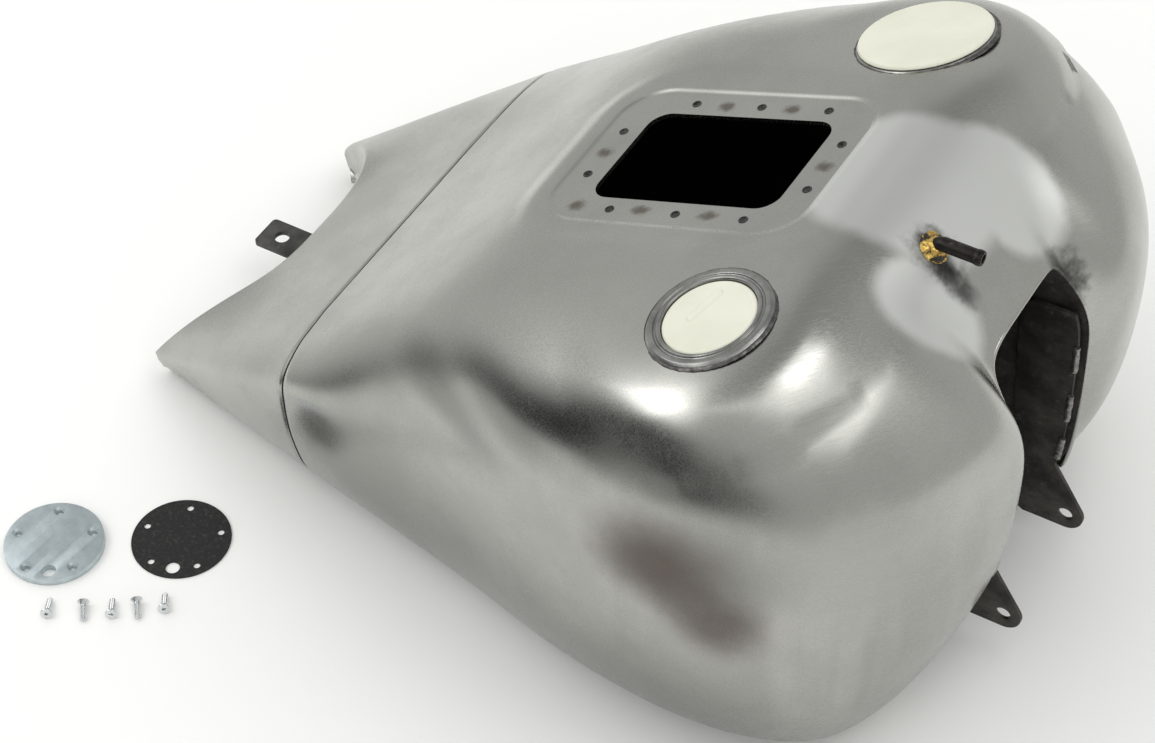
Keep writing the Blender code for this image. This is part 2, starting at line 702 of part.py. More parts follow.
def cover_kit():
    for name, (x, y, turn), thick, finish in (("cover_plate", PLATE_AT, COVER_THICK, ZINC),
                                              ("cover_gasket", GASKET_AT, GASKET_THICK, BLACK_FIBRE)):
        outline_mesh(name, cover_loops(), thick, lying(x, y, thick / 2, turn), finish)
    for number, spot in enumerate(SCREWS_AT, 1):
        cover_screw(number, *spot)


# ---------------------------------------------------------------- the object

top_skin()
skin("tail_skin", 0, SEAM_AT - SEAM_GAP)
tail_plate()
tunnel()
for hand in (1, -1):
    floor_pan(hand)
    crossover(hand)
    front_bracket(hand)
pump_flange()
filler_neck()
filler_plug()
filler_plug_seal()
gauge_cup()
sender_flange()
gauge_cap()
vent_tube()
vent_braze()
rear_tab()
cover_kit()
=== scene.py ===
"""The looks of a stretched motorcycle fuel tank in bare steel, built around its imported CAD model.

Metres, +X to the front of the tank, +Y to its left, +Z up, standing on the floor at z = 0.
"""

import math
from contextlib import contextmanager

import bmesh
import bpy
import numpy as np
from mathutils import Matrix, Vector, noise

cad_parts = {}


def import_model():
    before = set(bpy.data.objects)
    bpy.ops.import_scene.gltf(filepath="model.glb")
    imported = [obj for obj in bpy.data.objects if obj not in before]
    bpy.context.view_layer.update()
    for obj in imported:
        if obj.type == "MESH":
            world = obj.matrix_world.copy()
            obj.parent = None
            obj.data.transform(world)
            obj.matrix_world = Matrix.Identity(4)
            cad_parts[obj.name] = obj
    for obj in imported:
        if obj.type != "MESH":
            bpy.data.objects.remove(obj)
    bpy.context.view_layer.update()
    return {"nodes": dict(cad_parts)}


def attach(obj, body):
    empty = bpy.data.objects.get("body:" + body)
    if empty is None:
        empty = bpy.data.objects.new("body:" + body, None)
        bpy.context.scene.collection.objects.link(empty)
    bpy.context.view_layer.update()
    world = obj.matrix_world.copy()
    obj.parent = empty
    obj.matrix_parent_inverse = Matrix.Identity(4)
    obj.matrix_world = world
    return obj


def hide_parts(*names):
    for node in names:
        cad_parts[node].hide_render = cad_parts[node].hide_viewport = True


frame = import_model()

MM = 0.001


def mm(*values):
    """Millimetres as a tuple in metres."""
    return tuple(value * MM for value in values)


SHEET = 1.6 * MM
GAP = 0.3 * MM
MERGE = 0.005 * MM

# Fuel-pump opening.
PUMP_PITCH = math.radians(20.4)
PUMP_CENTRE = mm(0.0, 0.0, 283.8)
PUMP_SHIFT = -5.3 * MM
PUMP_OUTER = mm(186, 129, 28)
PUMP_INNER = mm(138, 88, 14)
PUMP_HOLE_PITCH = 50 * MM
PUMP_HOLE_SPREAD = 110 * MM
PUMP_END_SPREAD = 45 * MM
PUMP_END_SPAN = 165 * MM
PUMP_HOLE_R = 2.5 * MM
PUMP_PLATE = 3 * MM

# Round bungs: the filler on the right, the gauge cup on the left.
BUNG_X = 71.5 * MM
BUNG_Y = 139.4 * MM
BUNG_Z = 305.5 * MM
BUNG_BACK = math.radians(18)
BUNG_OUT = math.radians(6.5)
NECK_R = 40 * MM
NECK_BORE_R = 29.8 * MM
NECK_LEDGE = -14.5 * MM
LEDGE_R = 25 * MM
PLUG_R = 29.3 * MM
CUP_R = 45.5 * MM
CUP_BORE_R = 41.5 * MM
CUP_DEPTH = 32 * MM
CUP_WALL = 1.8 * MM
CAP_R = 43.8 * MM
BAR_SIZE = mm(29, 6, 2.9)
BAR_AT = mm(-7.5, 8)
BAR_TURN = math.radians(69)

# Vent elbow.
VENT_AT = mm(160, -29)
VENT_R = 4.6 * MM
VENT_WALL = 1.6 * MM
VENT_REACH = 31 * MM
VENT_RISE = 5.5 * MM
VENT_BEND = 7 * MM

# Sender cover kit.
COVER_R = 34.15 * MM
COVER_THICK = 4.8 * MM
GASKET_THICK = 1.0 * MM
COVER_PCD_R = 27 * MM
COVER_HOLE_R = 2.35 * MM
COVER_WIRE_R = 4.9 * MM
COVER_WIRE_AT = 25.5 * MM
SCREW_HEAD_R = 4.2 * MM
SCREW_SHANK_R = 2.05 * MM
SCREW_LENGTH = 15 * MM
PLATE_AT = (-356, -286, -96)
GASKET_AT = (-284, -239, -103)
SCREWS_AT = ((-322, -338, 118), (-307, -317, -55), (-284, -317, 124),
             (-277, -298, -52), (-256, -296, 124))

# Tunnel and brackets.
TUNNEL_HALF = 51 * MM
TUNNEL_FRONT_TOP = mm(206, 257.5)
TUNNEL_REAR_TOP = mm(-328.5, 36)
TUNNEL_CORNER = mm(30, 30)
BRACKET_THICK = 3 * MM
EAR_HOLE = mm(235, 33)
EAR_R = 12.5 * MM
EAR_HOLE_R = 5.2 * MM
TAB_HOLE_X = -362 * MM
TAB_TOP = 44.5 * MM
TAB_THICK = 3.5 * MM
TAB_HALF = 13.5 * MM
TAB_HOLE_R = 5.5 * MM
TAB_ENDS = mm(-378, -318.6)
TAIL_SWEEP = 45 * MM

# The skin's sections, as in the CAD model: crest x z, side x y z, foot x y z, in
# millimetres, then the squareness of the shoulder and the sweep towards the side.
SECTIONS = np.array([
    (-322, 77.5, -389, 122, 22, -380, 109, 0, 5.1, 3.3),    # open rear edge and tail tips
    (-235, 137, -227, 179, 113, -229, 134, 6, 5.6, 8.0),    # seam of the tail extension
    (-170, 192, -150, 194, 109, -148, 147, 6, 4.8, 6.5),
    (-94, 250, -62, 213, 111, -56, 160, 3, 4.5, 4.3),       # behind the pump opening
    (0, 287, 18, 239, 117, 31, 149, 0, 4.8, 5.0),           # widest part of the lobes
    (85, 318, 172, 224, 115, 166, 129, 0, 6.2, 7.2),        # hump ahead of the pump opening
    (150, 316, 246, 104, 186, 173, 103, 17, 4.3, 7.3),      # nose of the lobe
    (209, 262, 234, 55, 171, 225, 52, 70, 5.0, 15.0),       # front edge and rim of the notch
]) * ([MM] * 8 + [1, 1])
CROWN = 0.25
TAIL_CROWN = 0.7
FOOT_SQUARENESS = 2.2
SEAM_AT = 1
LAST = len(SECTIONS) - 1
SEAM_GAP = 0.008


# ---------------------------------------------------------------- mesh helpers

def add_object(name, mesh, matrix=None):
    obj = bpy.data.objects.new(name, mesh)
    bpy.context.scene.collection.objects.link(obj)
    if matrix:
        obj.matrix_world = matrix
    return obj


def finish_mesh(obj, angle=35):
    """Applies the modifiers, so the object keeps only its final mesh, and shades it smooth."""
    bpy.context.view_layer.update()
    evaluated = obj.evaluated_get(bpy.context.evaluated_depsgraph_get())
    mesh = bpy.data.meshes.new_from_object(evaluated)
    obj.modifiers.clear()
    obj.data = mesh
    mesh.shade_smooth()
    mesh.set_sharp_from_angle(angle=math.radians(angle))
    return obj


def remove(*objects):
    for obj in objects:
        bpy.data.objects.remove(obj, do_unlink=True)


def cut(obj, *cutters, operation="DIFFERENCE"):
    """Cuts the cutters out of the object and removes them."""
    for cutter in cutters:
        mod = obj.modifiers.new("cut", "BOOLEAN")
        mod.operation = operation
        mod.object = cutter
    finish_mesh(obj)
    remove(*cutters)
    return obj


def both_sides(half):
    """The left half's points, from the crest out, with their mirror images before them."""
    return [Vector((x, -y, z)) for x, y, z in half[:0:-1]] + list(half)


def grid_mesh(name, rows, wrap=False):
    """A surface through rows of points, its normal along (next row) x (next point)."""
    count = len(rows[0])
    verts = [tuple(point) for row in rows for point in row]
    faces = []
    for i in range(len(rows) - 1):
        for j in range(count if wrap else count - 1):
            here, beside = i * count + j, i * count + (j + 1) % count
            faces.append((here, here + count, beside + count, beside))
    mesh = bpy.data.meshes.new(name)
    mesh.from_pydata(verts, [], faces)
    return mesh


def solidify(obj):
    mod = obj.modifiers.new("sheet", "SOLIDIFY")
    mod.thickness = SHEET
    mod.offset = -1


def bevel(obj, width, segments=2, angle=40):
    mod = obj.modifiers.new("rounded", "BEVEL")
    mod.width = width
    mod.segments = segments
    mod.limit_method = "ANGLE"
    mod.angle_limit = math.radians(angle)
    mod.harden_normals = False


@contextmanager
def editing(mesh):
    """The mesh as a BMesh, written back at the end."""
    bm = bmesh.new()
    bm.from_mesh(mesh)
    yield bm
    bm.to_mesh(mesh)
    bm.free()


def weld_doubles(mesh):
    with editing(mesh) as bm:
        bmesh.ops.remove_doubles(bm, verts=bm.verts, dist=MERGE)
        bmesh.ops.recalc_face_normals(bm, faces=bm.faces)


def subdivide(obj, cuts):
    with editing(obj.data) as bm:
        bmesh.ops.subdivide_edges(bm, edges=bm.edges, cuts=cuts, use_grid_fill=True)


def from_curve(name, curve, matrix=None):
    """The curve's mesh, with its caps joined to its walls."""
    source = add_object(name + "_path", curve)
    bpy.context.view_layer.update()
    evaluated = source.evaluated_get(bpy.context.evaluated_depsgraph_get())
    mesh = bpy.data.meshes.new_from_object(evaluated)
    remove(source)
    weld_doubles(mesh)
    mesh.materials.clear()
    return add_object(name, mesh, matrix)


def plate(name, loops, thickness, matrix=None):
    """A flat plate from closed outlines, its mid-plane at z = 0 of the matrix."""
    curve = bpy.data.curves.new(name, "CURVE")
    curve.dimensions = "2D"
    curve.fill_mode = "BOTH"
    curve.extrude = thickness / 2
    for loop in loops:
        spline = curve.splines.new("POLY")
        spline.points.add(len(loop) - 1)
        for point, (x, y) in zip(spline.points, loop):
            point.co = (x, y, 0, 1)
        spline.use_cyclic_u = True
    return from_curve(name, curve, matrix)


def tube(name, points, radius, resolution=6):
    """A bent rod through the points, with filled ends."""
    curve = bpy.data.curves.new(name, "CURVE")
    curve.dimensions = "3D"
    curve.bevel_depth = radius
    curve.bevel_resolution = resolution
    curve.use_fill_caps = True
    spline = curve.splines.new("POLY")
    spline.points.add(len(points) - 1)
    for point, position in zip(spline.points, points):
        point.co = (*position, 1)
    return from_curve(name, curve)


def circle(radius, count, x=0.0, y=0.0):
    turn = 2 * math.pi / count
    return [(x + radius * math.cos(i * turn), y + radius * math.sin(i * turn))
            for i in range(count)]


def rounded_rectangle(length, width, corner, steps=12):
    points = []
    for quarter, (sx, sy) in enumerate(((1, 1), (-1, 1), (-1, -1), (1, -1))):
        for step in range(steps + 1):
            angle = math.pi / 2 * (quarter + step / steps)
            points.append((sx * (length / 2 - corner) + corner * math.cos(angle),
                           sy * (width / 2 - corner) + corner * math.sin(angle)))
    return points


def soften(profile, radius, closed, steps=4):
    """The profile with each corner off the axis rounded by up to `radius`."""
    count = len(profile)
    result = []
    for i, here in enumerate(profile):
        if not closed and i in (0, count - 1):
            result.append(here)
            continue
        here = Vector(here)
        before, after = Vector(profile[i - 1]), Vector(profile[(i + 1) % count])
        reach = min(radius, 0.45 * (before - here).length, 0.45 * (after - here).length)
        start = here + (before - here).normalized() * reach
        end = here + (after - here).normalized() * reach
        for step in range(steps + 1):
            t = step / steps
            result.append(tuple(start * (1 - t) ** 2 + here * 2 * t * (1 - t) + end * t ** 2))
    return result


def offsets(radius, *points):
    """Profile points in millimetres outward from the radius, and up."""
    return [(radius + out * MM, up * MM) for out, up in points]


def turned(name, profile, matrix=None, steps=96, radius=0.0):
    """A body of revolution about the matrix's z axis, from a profile of (radius, z)."""
    closed = profile[0][0] > 0 and profile[-1][0] > 0
    if radius:
        profile = soften(profile, radius, closed)
    count = len(profile)
    edges = [(i, i + 1) for i in range(count - 1)] + ([(count - 1, 0)] if closed else [])
    mesh = bpy.data.meshes.new(name)
    mesh.from_pydata([(r, 0, z) for r, z in profile], edges, [])
    obj = add_object(name, mesh, matrix)
    mod = obj.modifiers.new("turned", "SCREW")
    mod.steps = mod.render_steps = steps
    mod.use_merge_vertices = True
    mod.merge_threshold = MERGE
    return finish_mesh(obj)


def cylinder(name, radius, half_length, matrix, steps=96):
    return turned(name, [(0, half_length), (radius, half_length), (radius, -half_length),
                         (0, -half_length)], matrix, steps)


def ripple(obj, amount, scale, seed=0.0):
    """Moves each point along its normal by smooth noise, `scale` metres across."""
    mesh = obj.data
    offset = Vector((seed, 2 * seed, 3 * seed))
    moved = [v.co + v.normal * amount * noise.noise(v.co / scale + offset) for v in mesh.vertices]
    for v, co in zip(mesh.vertices, moved):
        v.co = co
    mesh.update()
    return obj


# ---------------------------------------------------------------- the skin's shape

def spline_bends():
    n = len(SECTIONS)
    system = np.eye(n)
    right = np.zeros_like(SECTIONS)
    for i in range(1, n - 1):
        system[i, i - 1:i + 2] = (1, 4, 1)
        right[i] = 6 * (SECTIONS[i + 1] - 2 * SECTIONS[i] + SECTIONS[i - 1])
    return np.linalg.solve(system, right)


BENDS = spline_bends()


def section_values(at):
    """Natural cubic spline through the rows of SECTIONS, at row position `at`."""
    i = min(int(at), LAST - 1)
    t = at - i
    u = 1 - t
    return (u * SECTIONS[i] + t * SECTIONS[i + 1]
            + ((u ** 3 - u) * BENDS[i] + (t ** 3 - t) * BENDS[i + 1]) / 6)


def rounded_quarter(turn, squareness):
    """Point on a unit superellipse, from (0, 1) at turn 0 to (1, 0) at turn 1."""
    angle = turn * math.pi / 2
    s, c = math.sin(angle), max(math.cos(angle), 0.0)
    reach = (s ** squareness + c ** squareness) ** (-1 / squareness)
    return s * reach, c * reach


def section_point(at, values, turn):
    """Point of the left outer skin: turn 0 is the crest, 1 the widest point, 2 the foot."""
    crest_x, crest_z, side_x, side_y, side_z, foot_x, foot_y, foot_z, square, sweep = values
    if turn <= 1:
        across, up = rounded_quarter(turn, square)
        crown = CROWN + TAIL_CROWN * max(1 - at, 0)
        return (crest_x + (side_x - crest_x) * across ** sweep,
                side_y * across, side_z + (crest_z - side_z) * up ** (square * crown))
    down, across = rounded_quarter(turn - 1, FOOT_SQUARENESS)
    return (foot_x + (side_x - foot_x) * across,
            foot_y + (side_y - foot_y) * across, side_z - (side_z - foot_z) * down)


def skin_point(at, turn):
    return section_point(at, section_values(at), turn)


def bisect(rises, low, high):
    """The place between low and high up to which `rises` stays true."""
    for _ in range(40):
        middle = (low + high) / 2
        low, high = (middle, high) if rises(middle) else (low, middle)
    return low


def deck_frame(x, y):
    """Matrix on the deck above (x, y), its z axis along the deck's normal."""
    def turn_at(at):
        return bisect(lambda turn: skin_point(at, turn)[1] < abs(y), 0, 1)

    at = bisect(lambda at: skin_point(at, turn_at(at))[0] < x, SEAM_AT, LAST)
    turn = turn_at(at)
    side = 1 if y >= 0 else -1
    here, ahead, beside = (Vector(skin_point(*place))
                           for place in ((at, turn), (at + 0.01, turn), (at, turn + 0.01)))
    along, across = ahead - here, beside - here
    for vector in (here, along, across):
        vector.y *= side
    up = along.cross(across).normalized() * side
    forward = (along - along.dot(up) * up).normalized()
    axes = Matrix((forward, up.cross(forward), up)).transposed().to_4x4()
    return Matrix.Translation(here) @ axes


def pump_matrix(height=0.0):
    return (Matrix.Translation(PUMP_CENTRE) @ Matrix.Rotation(-PUMP_PITCH, 4, "Y")
            @ Matrix.Translation((PUMP_SHIFT, 0, height)))


def bung_matrix(side):
    """Frame of a bung: side +1 is the left one, -1 the right one; z points out of the tank."""
    return (Matrix.Translation((BUNG_X, side * BUNG_Y, BUNG_Z))
            @ Matrix.Rotation(-BUNG_BACK, 4, "Y") @ Matrix.Rotation(-side * BUNG_OUT, 4, "X"))


# The press-formed seats in the deck: the deck runs smoothly down to each one's plane.
PUMP_BORDER = 26 * MM
RECESS_STEP = [mm(*step) for step in ((0, 0), (1.2, 0.04), (2.2, 0.2), (3.2, 0.55), (4.2, 1.0),
                                      (5.2, 1.3), (6.4, 1.45), (7.6, 1.5))]
RECESS_RIM, RECESS_DEPTH = RECESS_STEP[-1]
BUNG_BORDER = 62 * MM
BUNG_KEEP = 0.4


def ease(t):
    t = min(max(t, 0.0), 1.0)
    return t * t * t * (t * (6 * t - 15) + 10)


def rectangle_distance(x, y, length, width, corner):
    """Distance outside a rounded rectangle, negative inside."""
    dx, dy = abs(x) - length / 2 + corner, abs(y) - width / 2 + corner
    return math.hypot(max(dx, 0), max(dy, 0)) + min(max(dx, dy), 0) - corner


SEATS = [(bung_matrix(-1), BUNG_BORDER, BUNG_KEEP, lambda x, y: math.hypot(x, y) - NECK_R),
         (bung_matrix(1), BUNG_BORDER, BUNG_KEEP, lambda x, y: math.hypot(x, y) - CUP_R),
         (pump_matrix(RECESS_DEPTH), PUMP_BORDER, 0,
          lambda x, y: rectangle_distance(x, y, *PUMP_OUTER) - RECESS_RIM)]
SEATS = [(matrix, matrix.inverted(), *rest) for matrix, *rest in SEATS]
SEAT_REACH = 40 * MM


def seated(point):
    """The skin's point, drawn towards the plane of the seat it is near."""
    point = Vector(point)
    for matrix, inverse, border, keep, distance in SEATS:
        local = inverse @ point
        if abs(local.z) < SEAT_REACH:
            local.z *= keep + (1 - keep) * ease(distance(local.x, local.y) / border)
            point = matrix @ local
    return point


# The welded seam: a shallow, slightly uneven groove beside the gap.
SEAM_DIP = 0.8 * MM
SEAM_REACH = 0.014
SEAM_STEPS = (0, 0.005, 0.01, 0.016, 0.024, 0.036)
RELAX_FROM = 180 * MM
RELAX_FADE = 22 * MM
RELAX_PASSES = 60
TAIL_ROLL = 5 * MM
TIP_X = -352 * MM
RIM_BACK = 1.5 * MM
TAIL_POINTS = 120
ROLL_STEPS = 7
WAVE_SIZE = 0.11
WAVE_HEIGHT = 0.22 * MM
WAVE_FLOOR = 30 * MM


def hammered(point, normal):
    """Hand-worked sheet: smooth unevenness that fades out at the seats."""
    near = ease(point.z / WAVE_FLOOR)
    for _, inverse, border, _, distance in SEATS:
        local = inverse @ point
        if abs(local.z) < SEAT_REACH:
            near *= ease(distance(local.x, local.y) / (2 * border))
    wave = noise.noise(point / WAVE_SIZE) + 0.4 * noise.noise(point / (0.4 * WAVE_SIZE))
    return point + normal * (WAVE_HEIGHT * near * wave)


def skin_turns():
    """Steps around the section: even across the deck, finer where the pump seat is."""
    across = list(np.linspace(0, 0.42, 56)) + list(np.linspace(0.42, 1, 36))[1:]
    up = list(np.linspace(1, 0, 40))[1:]
    quarter = math.pi / 2
    turns = [math.atan(a) / quarter for a in across]
    turns += [1 - math.atan(u) / quarter for u in up]
    return turns + list(np.linspace(1, 2, 25))[1:]


def even_turns(at, count, last=2):
    """Turns that space `count` points evenly along the section's outline."""
    fine = np.linspace(0, last, 240)
    outline = np.array([skin_point(at, turn) for turn in fine])
    along = np.concatenate([[0], np.cumsum(np.linalg.norm(np.diff(outline, axis=0), axis=1))])
    return list(np.interp(np.linspace(0, along[-1], count), along, fine))


def relaxed(rows):
    """Evens out the sheet ahead of the deck, where the sections turn in towards the notch."""
    grid = np.array(rows)
    share = np.clip((grid[1:-1, 1:-1, :1] - RELAX_FROM) / RELAX_FADE, 0, 1) * 0.5
    for _ in range(RELAX_PASSES):
        mean = (grid[2:, 1:-1] + grid[:-2, 1:-1] + grid[1:-1, 2:] + grid[1:-1, :-2]) / 4
        grid[1:-1, 1:-1] += share * (mean - grid[1:-1, 1:-1])
    return grid


def skin(name, stations, even=0):
    rows = []
    for at in stations:
        values = section_values(at)
        turns = even_turns(at, even) if even else skin_turns()
        half = [section_point(at, values, turn) for turn in turns]
        rows.append([seated(point) for point in both_sides(half)])
    obj = add_object(name, grid_mesh(name, relaxed(rows)))
    normals = [v.normal.copy() for v in obj.data.vertices]
    width = len(rows[0])
    for v, normal in zip(obj.data.vertices, normals):
        away = (abs(stations[v.index // width] - SEAM_AT) - SEAM_GAP) / SEAM_REACH
        uneven = 1 + 0.5 * noise.noise(v.co / (18 * MM))
        v.co = hammered(v.co, normal) - normal * (SEAM_DIP * uneven * math.exp(-away * away))
    obj.data.update()
    solidify(obj)
    return obj


# ---------------------------------------------------------------- materials

SCRATCHES_PER_M = 1400


class Finish:
    """A material under construction; each method adds nodes and returns an output socket."""

    def __init__(self, name):
        self.material = bpy.data.materials.new(name)
        self.material.use_nodes = True
        self.tree = self.material.node_tree
        self.shader = self.tree.nodes["Principled BSDF"]
        self.where = self.add("ShaderNodeTexCoord").outputs["Object"]

    def add(self, kind, **settings):
        node = self.tree.nodes.new(kind)
        for key, value in settings.items():
            setattr(node, key, value)
        return node

    def link(self, source, target):
        """Feeds a socket from another socket, or gives it a constant."""
        if isinstance(source, bpy.types.NodeSocket):
            self.tree.links.new(source, target)
        elif target.type == "RGBA":
            target.default_value = (*source, 1)
        else:
            target.default_value = source

    def node(self, kind, output, settings=(), **inputs):
        """A new node's output; its inputs are given by their names, with _ for a space."""
        node = self.add(kind, **dict(settings))
        for key, value in inputs.items():
            self.link(value, node.inputs[key.replace("_", " ")])
        return node.outputs[output]

    def mapped(self, scale=(1, 1, 1), turn=(0, 0, 0), move=(0, 0, 0)):
        kind = "TEXTURE" if scale == (1, 1, 1) else "POINT"
        return self.node("ShaderNodeMapping", 0, {"vector_type": kind}, Location=move, Scale=scale,
                         Rotation=[math.radians(angle) for angle in turn], Vector=self.where)

    def noise(self, scale, detail=4.0, roughness=0.55, vector=None, distortion=0.0):
        return self.node("ShaderNodeTexNoise", "Fac", Scale=scale, Detail=detail,
                         Roughness=roughness, Distortion=distortion, Vector=vector or self.where)

    def span(self, value, low, high, to_low=0.0, to_high=1.0, smooth=True):
        kind = "SMOOTHSTEP" if smooth else "LINEAR"
        return self.node("ShaderNodeMapRange", 0, {"interpolation_type": kind}, Value=value,
                         From_Min=low, From_Max=high, To_Min=to_low, To_Max=to_high)

    def math(self, operation, a, b=0.0):
        node = self.add("ShaderNodeMath", operation=operation)
        self.link(a, node.inputs[0])
        self.link(b, node.inputs[1])
        return node.outputs[0]

    def product(self, a, b):
        return self.math("MULTIPLY", a, b)

    def total(self, a, b):
        return self.math("ADD", a, b)

    def mix(self, share, a, b):
        return self.node("ShaderNodeMix", "Result", {"data_type": "RGBA"}, Factor=share, A=a, B=b)

    def mix_value(self, share, a, b):
        return self.node("ShaderNodeMix", "Result", {"data_type": "FLOAT"}, Factor=share, A=a, B=b)

    def scratches(self, turn, density=1.0, length=0.018, seed=0.0):
        """Fine parallel lines: noise drawn out along one direction of the x-y plane."""
        fine = SCRATCHES_PER_M * density
        lines = self.node("ShaderNodeMapping", 0, {"vector_type": "POINT"},
                          Scale=(1 / length, fine, fine),
                          Vector=self.mapped(turn=turn, move=(seed, seed, 0)))
        return self.noise(1.0, 3.0, 0.6, lines)

    def patch(self, centre, radii, turn=0.0, edge=0.35, ragged=0.25, grain=28.0):
        """1 inside an ellipsoid with an uneven border, 0 outside."""
        local = self.node("ShaderNodeMapping", 0, {"vector_type": "TEXTURE"}, Location=centre,
                          Rotation=(0, 0, math.radians(turn)), Scale=radii, Vector=self.where)
        length = self.add("ShaderNodeVectorMath", operation="LENGTH")
        self.link(local, length.inputs[0])
        wobble = self.span(self.noise(grain, 5.0), 0.25, 0.75, -ragged, ragged, smooth=False)
        return self.span(self.total(length.outputs["Value"], wobble), 1 + edge, 1 - edge)

    def bump(self, height, distance, strength):
        return self.node("ShaderNodeBump", 0, Strength=strength, Distance=distance, Height=height)

    def set(self, **inputs):
        """Sets shader inputs by their names, with _ for a space."""
        for key, value in inputs.items():
            self.link(value, self.shader.inputs[key.replace("_", " ")])
        return self.material

    def surface(self, colour, rough, metal, height, depth, strength):
        """The finished material, with `height` as relief `depth` metres deep."""
        return self.set(Base_Color=colour, Roughness=rough, Metallic=metal,
                        Normal=self.bump(height, depth, strength))

    def clouded(self, cloud, low, high, first, second):
        """From the first colour to the second where the cloud goes from low to high."""
        return self.mix(self.span(cloud, low, high), first, second)


# Places on the tank whose surface differs, most of them painted highlights, painted reflections and
# a painted shadow: centre, radii, then turn, edge and raggedness.
# Painted highlights: lighter, rougher patches on the hump ahead of the pump opening and towards the
# notch.
PAINTED_HIGHLIGHTS = [(mm(120, 2, 305), mm(62, 58, 60), 10, 0.12, 0.05),
            (mm(168, 48, 290), mm(42, 36, 60), 0, 0.15, 0.10),
            (mm(172, -62, 285), mm(36, 28, 60), 25, 0.18, 0.06)]
# Painted dark reflections, the darkest ones, low on the near lobe's flank.
PAINTED_DARKEST_REFLECTIONS = [(mm(92, -240, 204), mm(38, 50, 26), 0, 0.7, 0.25),
          (mm(132, -236, 168), mm(26, 40, 24), 0, 0.7, 0.3)]
# Soot round the vent's foot, then the vent tube's painted shadow, then two dark patches at the
# notch's top corner.
SOOT_AND_PAINTED_SHADOW = [(mm(160, -31, 307), mm(14, 12, 22), 0, 0.6, 0.5),
        (mm(179, -35, 300), mm(16, 7, 22), 4, 0.7, 0.4),
        (mm(210, 47, 234), mm(13, 12, 22), 0, 0.7, 0.5),
        (mm(214, 56, 190), mm(10, 8, 45), 0, 0.7, 0.5)]
# Painted dark reflections: the darker lower flank and the dark bands under the near shoulder.
PAINTED_DARK_REFLECTIONS = [(mm(-70, -222, 62), mm(210, 75, 66), 0, 0.8, 0.15),
          (mm(95, -225, 45), mm(80, 70, 60), 0, 0.8, 0.15),
          (mm(-95, -195, 208), mm(60, 34, 13), 0, 0.7, 0.12),
          (mm(-30, -206, 235), mm(62, 34, 14), 0, 0.7, 0.12),
          (mm(38, -217, 258), mm(62, 34, 12), 0, 0.7, 0.12),
          (mm(100, -219, 262), mm(36, 30, 13), 0, 0.7, 0.12),
          (mm(112, -238, 205), mm(48, 40, 30), 0, 0.7, 0.15)]
# Painted reflection streaks: upright darker streaks on the near front lobe.
PAINTED_REFLECTION_STREAKS = (mm(150, -150, 120), mm(110, 150, 130), 0, 0.6, 0.1)
HEAT_SPOTS_R = 4 * MM
STEEL_LIGHT = (0.475, 0.475, 0.45)
STEEL_DARK = (0.40, 0.40, 0.378)
STEEL_ROUGH = (0.22, 0.30)


def steel_base(finish):
    """Colour and roughness shared by the bare sheet: cloudy, with sanding scratches."""
    cloud = finish.noise(9.0, 5.0, 0.6)
    grain = finish.noise(900.0, 2.0, 0.7)
    first = finish.scratches((0, 0, 52), 1.0)
    second = finish.scratches((0, 12, -38), 0.7, 0.03, 3.0)
    streak = finish.product(finish.span(second, 0.62, 0.8), 0.6)
    colour = finish.clouded(cloud, 0.3, 0.7, STEEL_LIGHT, STEEL_DARK)
    colour = finish.mix(finish.span(grain, 0.35, 0.75, 0.0, 0.10), colour, (0.20, 0.20, 0.19))
    rough = finish.mix_value(finish.span(cloud, 0.35, 0.65), *STEEL_ROUGH)
    rough = finish.total(rough, finish.span(first, 0.3, 0.7, -0.04, 0.06))
    height = finish.total(finish.product(first, 0.6), streak)
    height = finish.total(height, finish.product(grain, 0.25))
    return colour, rough, height


def bare_steel():
    """The skin's sheet, with painted highlight patches, painted reflection streaks, painted dark
    reflections, soot by the vent, the vent tube's painted shadow and dark patches at the notch's
    corner.
    """
    finish = Finish("bare_steel_sheet")
    colour, rough, height = steel_base(finish)

    # Darkens each patch towards the tint; it paints dark reflections.
    def painted_darkening(colour, spots, share, tint, grain):
        for spot in spots:
            mask = finish.product(finish.patch(*spot, grain=grain), share)
            colour = finish.mix(mask, colour, tint)
        return colour

    # Painted highlights: lighter and rougher.
    for spot in PAINTED_HIGHLIGHTS:
        mask = finish.patch(*spot)
        colour = finish.mix(mask, colour, (0.72, 0.73, 0.71))
        rough = finish.mix_value(mask, rough, 0.42)
    # Painted reflection streaks on the near front lobe.
    reflection_streaks = finish.noise(1.0, 3.0, 0.5, finish.mapped(scale=(26, 26, 2.2)))
    reflection_streaks = finish.span(reflection_streaks, 0.42, 0.62, 0.0, 0.6)
    reflection_streaks = finish.product(reflection_streaks, finish.patch(*PAINTED_REFLECTION_STREAKS))
    colour = finish.mix(reflection_streaks, colour, (0.33, 0.33, 0.31))
    # Painted dark reflections on the near flank.
    colour = painted_darkening(colour, PAINTED_DARK_REFLECTIONS, 0.7, (0.19, 0.19, 0.18), 7.0)
    colour = painted_darkening(colour, PAINTED_DARKEST_REFLECTIONS, 0.75, (0.085, 0.062, 0.056), 16.0)
    # Soot, the vent tube's painted shadow and dark patches at the notch's corner.
    for spot in SOOT_AND_PAINTED_SHADOW:
        mask = finish.product(finish.patch(*spot, grain=90.0), 0.85)
        colour = finish.mix(mask, colour, (0.035, 0.033, 0.03))
        rough = finish.mix_value(mask, rough, 0.55)
    return finish.surface(colour, rough, 1.0, height, 0.02 * MM, 0.6)


